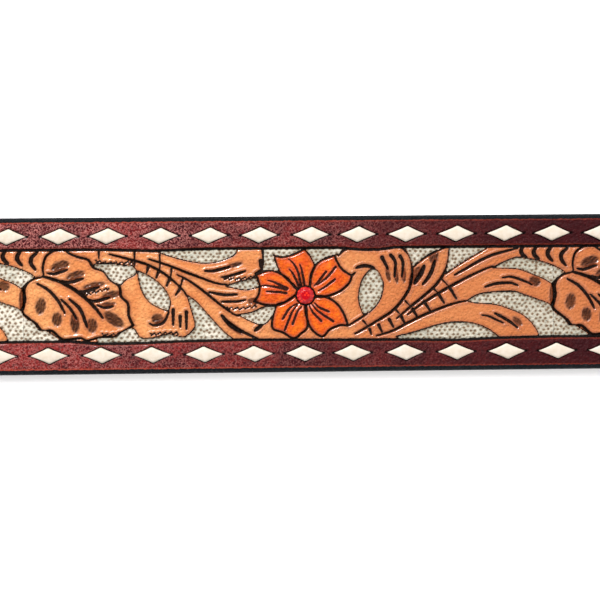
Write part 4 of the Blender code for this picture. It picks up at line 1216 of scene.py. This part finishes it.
# The dye group also brings its painted wrinkle glints and the drift's painted shade.
dyed = n.group(dye_and_sheen_group, Place=n.place, Edge=n.attribute("edge"))
at = n.xyz(n.place)
facing = n.xyz(n.add("ShaderNodeNewGeometry").outputs["Normal"])
in_channel_height = n.step(at["Z"], 1.5 * MM, 1.35 * MM)
in_channel = n.times(in_channel_height, n.step(n.size(at["Y"]), 17.8 * MM, 17.2 * MM))
below = n.math("MAXIMUM", n.step(facing["Z"], -0.3, -0.7), in_channel)
past_fold = n.step(at["X"], BAR_X + (turned_end + 0.1) * MM, BAR_X + (turned_end + 0.4) * MM)
flesh = n.times(below, past_fold)
crease = n.step(n.size(n.minus(n.attribute("edge"), 3.0)), 0.34, 0.16)
suede = n.mix(n.noise(900.0, 5.0, n.place, 0.7), srgb(70, 48, 40), srgb(110, 80, 64))
from_middle = n.size(n.minus(at["X"], (tooling_start + tooling_end) / 2))
past_panel = n.minus(from_middle, (tooling_end - tooling_start) / 2)
panel_end = n.times(n.step(past_panel, 0.9 * MM, 0.5 * MM), n.step(n.attribute("edge"), 7.6, 7.9))
crease = n.times(n.math("MAXIMUM", crease, panel_end), n.minus(1.0, flesh))
plain_colour = n.over(dyed["Color"], (28, 14, 14), crease, 0.9)
n.put(plain_surface.inputs["Base Color"], n.mix(flesh, plain_colour, suede))
n.put(plain_surface.inputs["Roughness"], n.plus(dyed["Roughness"], n.times(flesh, 0.4)))
plain_surface.inputs["Specular IOR Level"].default_value = 0.12
n.put(plain_surface.inputs["Normal"], n.bumped(n.minus(dyed["Height"], n.times(crease, 2.0))))
dress(band, plain, "strap_leather", "tooled_strap")

# %% [markdown]
# ## The keeper
# The keeper is a strip of the same leather, 12 mm wide, folded to a loop with rounded corners.

# %% Keeper
def rounded_line(low, high, radii, steps=8):
    """A closed rectangle with a radius for each corner, from the low corner round."""
    (x0, y0), (x1, y1) = low, high
    corners = ((x0, y0, 1, 1, 180), (x1, y0, -1, 1, 270), (x1, y1, -1, -1, 0), (x0, y1, 1, -1, 90))
    line = []
    for (x, y, way_x, way_y, start), radius in zip(corners, radii):
        for i in range(steps + 1):
            a = math.radians(start + 90 * i / steps)
            line.append((x + radius * (way_x + math.cos(a)), y + radius * (way_y + math.sin(a))))
    return line


KEEPER_BEND, KEEPER_EDGE = 1.6, 0.5
half_wall = KEEPER_WALL / 2
keeper_half = (keeper_high.x - keeper_low.x) / 2 / MM
keeper_line = rounded_line(
    (keeper_low.y / MM + half_wall, keeper_low.z / MM + half_wall),
    (keeper_high.y / MM - half_wall, keeper_high.z / MM - half_wall), [KEEPER_BEND] * 4,
)
quarter = []
for a in np.radians((0, 30, 60, 90)):
    side, rise = KEEPER_EDGE * (math.cos(a) - 1), KEEPER_EDGE * (math.sin(a) - 1)
    quarter.append((keeper_half + side, half_wall + rise))
quarter += [(keeper_half - 2, half_wall), (0, half_wall)]
strip_top = quarter + [(-side, rise) for side, rise in reversed(quarter[:-1])]
strip = strip_top + [(-side, -rise) for side, rise in strip_top]
keeper = sweep("keeper", keeper_line, lambda i: strip, (Y_WAY, Z_WAY, X_WAY), closed=True)
keeper.data.transform(Matrix.Translation(((keeper_low.x + keeper_high.x) / 2, 0, 0)))
edge_distances(keeper, lambda place: min(place.x - keeper_low.x, keeper_high.x - place.x) / MM + 0.3)
dress(keeper, plain, "strap_leather", "keeper_loop")

# %% [markdown]
# ## Buckle and prong
# The buckle is one bent wire with rounded corners. It leans on the floor, so its frame is turned
# about its bar. The prong is a tapered wire with a knuckle round the bar.

# %% Polished metal
metal, n, metal_surface = new_material("polished_metal")
scratches = n.noise(2400.0, 3.0, n.place, 0.6)
n.put(metal_surface.inputs["Base Color"], n.mix(scratches, srgb(196, 194, 190), srgb(222, 220, 214)))
metal_surface.inputs["Metallic"].default_value = 1.0
n.put(metal_surface.inputs["Roughness"], n.step(scratches, 0.3, 0.7, 0.14, 0.26))

# %% Buckle frame
FRAME_LENGTH, FRAME_GAP, FRAME_CORNERS = 34.0, 1, (8, 2.95, 2.95, 8)
TILT = math.asin((bar_level - WIRE_RADIUS) / FRAME_LENGTH)
frame_half = half_mm + FRAME_GAP + WIRE_RADIUS
buckle_place = Matrix.Translation((BAR_X, 0, bar_level * MM)) @ Matrix.Rotation(-TILT, 4, "Y")
frame_line = rounded_line((-FRAME_LENGTH, -frame_half), (0, frame_half), FRAME_CORNERS, 12)
wire_section = ring(WIRE_RADIUS, 20)
buckle_frame = sweep("buckle_frame", frame_line, lambda i: wire_section, (X_WAY, Y_WAY, Z_WAY), closed=True)
print(f"the frame leans {math.degrees(TILT):.1f} degrees")

# %% Prong and its knuckle
PRONG_RADIUS, PRONG_LENGTH, PRONG_POINT = 1.9, 37.0, 0.35
PRONG_LIFT = WIRE_RADIUS + PRONG_RADIUS + BAR_GAP
KNUCKLE_HALF, KNUCKLE_THICK_HALF, KNUCKLE_SIDES = 1.9, 0.75, 14
PRONG_POINTS = [(0, 0.0), (-11.8, 2.76), (-25.5, PRONG_LIFT), (-PRONG_LENGTH, PRONG_LIFT)]
prong_line = smooth_line(PRONG_POINTS, False)
prong_line = prong_line[sorted({*range(0, len(prong_line), 3), len(prong_line) - 1})]
to_point = (PRONG_LENGTH + prong_line[:, 0]) / PRONG_RADIUS
prong_radii = PRONG_RADIUS * np.clip(to_point + PRONG_POINT, PRONG_POINT, 1) ** 0.5
prong = sweep("prong", prong_line, lambda i: ring(prong_radii[i], 18), (X_WAY, Z_WAY, Y_WAY))
knuckle_line = ring(WIRE_RADIUS + 0.8, 28)
knuckle_section = []
for side, rise in ring(1, KNUCKLE_SIDES):
    knuckle_section.append((side * KNUCKLE_HALF, rise * KNUCKLE_THICK_HALF))
knuckle = sweep("knuckle", knuckle_line, lambda i: knuckle_section, (X_WAY, Z_WAY, Y_WAY), closed=True)
joined("buckle_frame", [buckle_frame, prong, knuckle])
buckle_frame.data.transform(buckle_place)
dress(buckle_frame, metal, "bright_metal", "buckle")

# %% [markdown]
# ## The two screws
# Each screw is a post with a head at both ends, and a slot for a screwdriver across each head.

# %% Screws
POST_RADIUS, POST_LOW, POST_HIGH = 2.5 * MM, 1.0 * MM, 9.4 * MM
HEAD_RIM = 0.3 * MM
DRIVER_SLOT = (20 * MM, 1.1 * MM, 1.2 * MM)
head_thick = HEAD_THICKNESS * MM
for i, x in enumerate(screw_xs):
    parts = [upright("post", x, POST_RADIUS, POST_LOW, POST_HIGH)]
    for low, face_level in ((0, 0), (screw_high.z - head_thick, screw_high.z)):
        head = upright("head", x, HEAD_RADIUS * MM, low, low + head_thick, 56)
        cut_with(head, block("driver_slot", (x, 0, face_level), DRIVER_SLOT, 0.5 + i))
        bevel(head, HEAD_RIM, 3)
        parts.append(head)
    screw = joined(f"slotted_screw_{i + 1}", parts)
    smooth_by_angle(screw, 30)
    dress(screw, metal, "bright_metal", f"fold_screw_{i + 1}")

# %% [markdown]
# ## The laces
# Each lace is a flat cream strip that comes up through one end of a slit, lies over it as a
# diamond and goes down through the other end. One stitch is a grid bent along that way and given
# the strip's thickness. Copies of it make the row. The way is a list of stations from the end of
# a stitch to its middle: the share of half a pitch, the level and the half width in mm.

# %% One stitch
LACE_THICKNESS, LACE_CROWN = 0.85 * MM, 0.16 * MM
STITCH_WAY = [
    (1.1, 1.0, 1.8), (0.87, 1.0, 1.8), (0.79, 1.0, 1.6), (0.745, 1.35, 0.7), (0.72, 2.9, 0.2),
    (0.69, 3.5, 0.14), (0.64, 3.7, 0.22), (0.57, 3.8, 0.38), (0.43, 3.86, 0.72), (0.21, 3.92, 1.3),
    (0.03, 3.94, 1.83),
]


def lace_row(name, row, material):
    """All of a lace's stitches, as one mesh."""
    half_pitch = row["pitch"] / 2
    way = [(-x * half_pitch, z * MM, w * MM) for x, z, w in STITCH_WAY]
    way += [(-x, z, w) for x, z, w in reversed(way)]
    bpy.ops.mesh.primitive_grid_add(x_subdivisions=len(way) - 1, y_subdivisions=6, size=2)
    stitch = named(name)
    for vertex in stitch.data.vertices:
        station = round((vertex.co.x + 1) / 2 * (len(way) - 1))
        x, z, half_width = way[station]
        across = vertex.co.y * half_width
        crown = LACE_CROWN * (1 - vertex.co.y**2) * min(1, half_width / MM)
        vertex.co = (x + row["lean"] * across, row["y"] + across, z + crown)
    take(stitch)
    strip = stitch.modifiers.new("strip", "SOLIDIFY")
    strip.thickness, strip.offset = LACE_THICKNESS, -1
    bpy.ops.object.modifier_apply(modifier="strip")
    stitch.data.shade_smooth()
    copies = [copied(stitch, name, (x, 0, 0)) for x in row["xs"]]
    bpy.data.objects.remove(stitch)
    return dress(joined(name, copies), material, "lace", f"buckstitch_{name}")


# %% Cream lace
cream, n, lace_surface = new_material("cream_lace")
fibre = n.noise(900.0, 4.0, n.place, 0.6)
cream_colour = n.mix(n.step(fibre, 0.3, 0.7), srgb(219, 207, 192), srgb(209, 194, 174))
n.put(lace_surface.inputs["Base Color"], cream_colour)
lace_surface.inputs["Roughness"].default_value = 0.5
for name, row in ROWS.items():
    lace_row(f"lace_{name}", row, cream)

# %% [markdown]
# ## The cut stones
# A flower's stone is a round cut one: a girdle, two rings of facets turned half a step from each
# other, and a flat table. Each ring is the top face pushed up, made smaller and turned. Flat
# shading keeps every facet crisp, and cells of lighter red are painted sparks: light caught inside
# the glass, laid into its colour.

# %% Red glass
red_glass, n, stone_surface = new_material("red_stone")
# Painted sparks: light caught inside the glass, laid into the colour as cells of lighter red.
painted_spark_cells = n.add("ShaderNodeTexVoronoi")
n.put(painted_spark_cells.inputs["Vector"], n.place)
painted_spark_cells.inputs["Scale"].default_value = 1400.0
lit = n.step(painted_spark_cells.outputs["Distance"], 0.5, 0.15)
n.put(stone_surface.inputs["Base Color"], n.mix(lit, srgb(178, 8, 24), srgb(248, 56, 34)))
stone_surface.inputs["Roughness"].default_value = 0.06
stone_surface.inputs["Specular IOR Level"].default_value = 0.35

# %% One stone, copied to every flower
FACETS = 12
CROWN_RINGS = ((0.8, 0.42), (0.66, 0.33))
GIRDLE_HEIGHT = 0.55 * MM
bpy.ops.mesh.primitive_cylinder_add(
    vertices=FACETS, radius=STONE_RADIUS * MM, depth=GIRDLE_HEIGHT,
    location=(0, 0, stone_low.z + GIRDLE_HEIGHT / 2),
)
first_stone = named("first_stone")
edit()
leave_edit()
for face in first_stone.data.polygons:
    face.select = face.normal.z > 0.9
bpy.ops.object.mode_set(mode="EDIT")
for scale, rise in CROWN_RINGS:
    bpy.ops.mesh.extrude_region_move(TRANSFORM_OT_translate={"value": (0, 0, rise * MM)})
    bpy.ops.transform.resize(value=(scale, scale, 1), center_override=(0, 0, stone_high.z))
    bpy.ops.transform.rotate(value=math.pi / FACETS, orient_axis="Z", center_override=(0, 0, stone_high.z))
leave_edit()
for name, flower_x in zip(STONES, flower_xs):
    stone = copied(first_stone, f"cut_{name}", (flower_x, STONE_Y, 0))
    dress(stone, red_glass, "stone", name)
bpy.data.objects.remove(first_stone)

# %% [markdown]
# ## Floor, light and camera
# The belt was photographed from almost straight above on white, lit softly and brightly. The
# camera stands where the photograph's did: the measured slope of the strap's edges gives its
# roll, and the strap's known width gives its distance. The sky is dark right overhead, where the
# camera is, so flat leather mirrors nothing bright and keeps its deep colours. The floor glows a
# little, so the belt's shadow stays as faint as in the photograph.

# %% Camera
PHOTO_SIZE = 600
STONE_PIXEL = (305.4, 295.4)
STRAP_PIXELS = 156.4
EDGE_SLOPE = 5.8 / PHOTO_SIZE
LEFT_LEAN = math.radians(2.5)
camera_data = bpy.data.cameras.new("camera")
camera = bpy.data.objects.new("camera", camera_data)
bpy.context.scene.collection.objects.link(camera)
bpy.context.scene.camera = camera
camera_data.sensor_width = 36
camera_data.lens = 100
view_width = PHOTO_SIZE * 2 * STRAP_HALF / STRAP_PIXELS
distance = view_width * camera_data.lens / camera_data.sensor_width
roll = math.atan(EDGE_SLOPE)
off_x = (PHOTO_SIZE / 2 - STONE_PIXEL[0]) * view_width / PHOTO_SIZE
off_y = (STONE_PIXEL[1] - PHOTO_SIZE / 2) * view_width / PHOTO_SIZE
target = Vector((flower_xs[2], STONE_Y, THICKNESS))
target += Matrix.Rotation(-roll, 3, "Z") @ Vector((off_x, off_y, 0))
back = Vector((-math.sin(LEFT_LEAN), 0, math.cos(LEFT_LEAN)))
camera.location = target + back * distance
camera.rotation_euler = (Matrix.Rotation(-LEFT_LEAN, 3, "Y") @ Matrix.Rotation(-roll, 3, "Z")).to_euler()
camera_data.clip_start, camera_data.clip_end = 0.01, 10
print(f"camera {distance:.3f} m above the belt, view {view_width / MM:.1f} mm wide")

# %% Floor and lights
bpy.ops.mesh.primitive_plane_add(size=6, location=(0, 0, -0.02 * MM))
floor = named("floor")
floor_material, n, floor_surface = new_material("white_floor")
floor_surface.inputs["Base Color"].default_value = (0.93, 0.925, 0.93, 1)
floor_surface.inputs["Roughness"].default_value = 0.7
floor_surface.inputs["Specular IOR Level"].default_value = 0.1
floor_surface.inputs["Emission Color"].default_value = (1, 1, 1, 1)
floor_surface.inputs["Emission Strength"].default_value = 0.22
floor.data.materials.append(floor_material)

world = bpy.data.worlds.new("studio")
world.use_nodes = True
sky = Nodes(world.node_tree)
background = world.node_tree.nodes["Background"].inputs
up = sky.xyz(sky.add("ShaderNodeTexCoord").outputs["Generated"])
background["Color"].default_value = (1, 0.99, 0.98, 1)
sky.put(background["Strength"], sky.step(up["Z"], 0.86, 0.96, 1.12, 0.14))
bpy.context.scene.world = world


def soft_box(name, place, size, watts):
    """A square lamp that looks at the middle of the belt."""
    lamp = bpy.data.lights.new(name, "AREA")
    lamp.size, lamp.energy = size, watts
    stand = bpy.data.objects.new(name, lamp)
    bpy.context.scene.collection.objects.link(stand)
    stand.location = Vector(place)
    stand.rotation_euler = Vector(place).to_track_quat("Z", "Y").to_euler()
    print("lamp", name, "of", watts, "W")


soft_box("key", (-0.35, 0.8, 1.0), 0.8, 11)
soft_box("glint", (-0.3, 0.8, 0.9), 0.1, 14)
bpy.context.scene.view_settings.view_transform = "Standard"
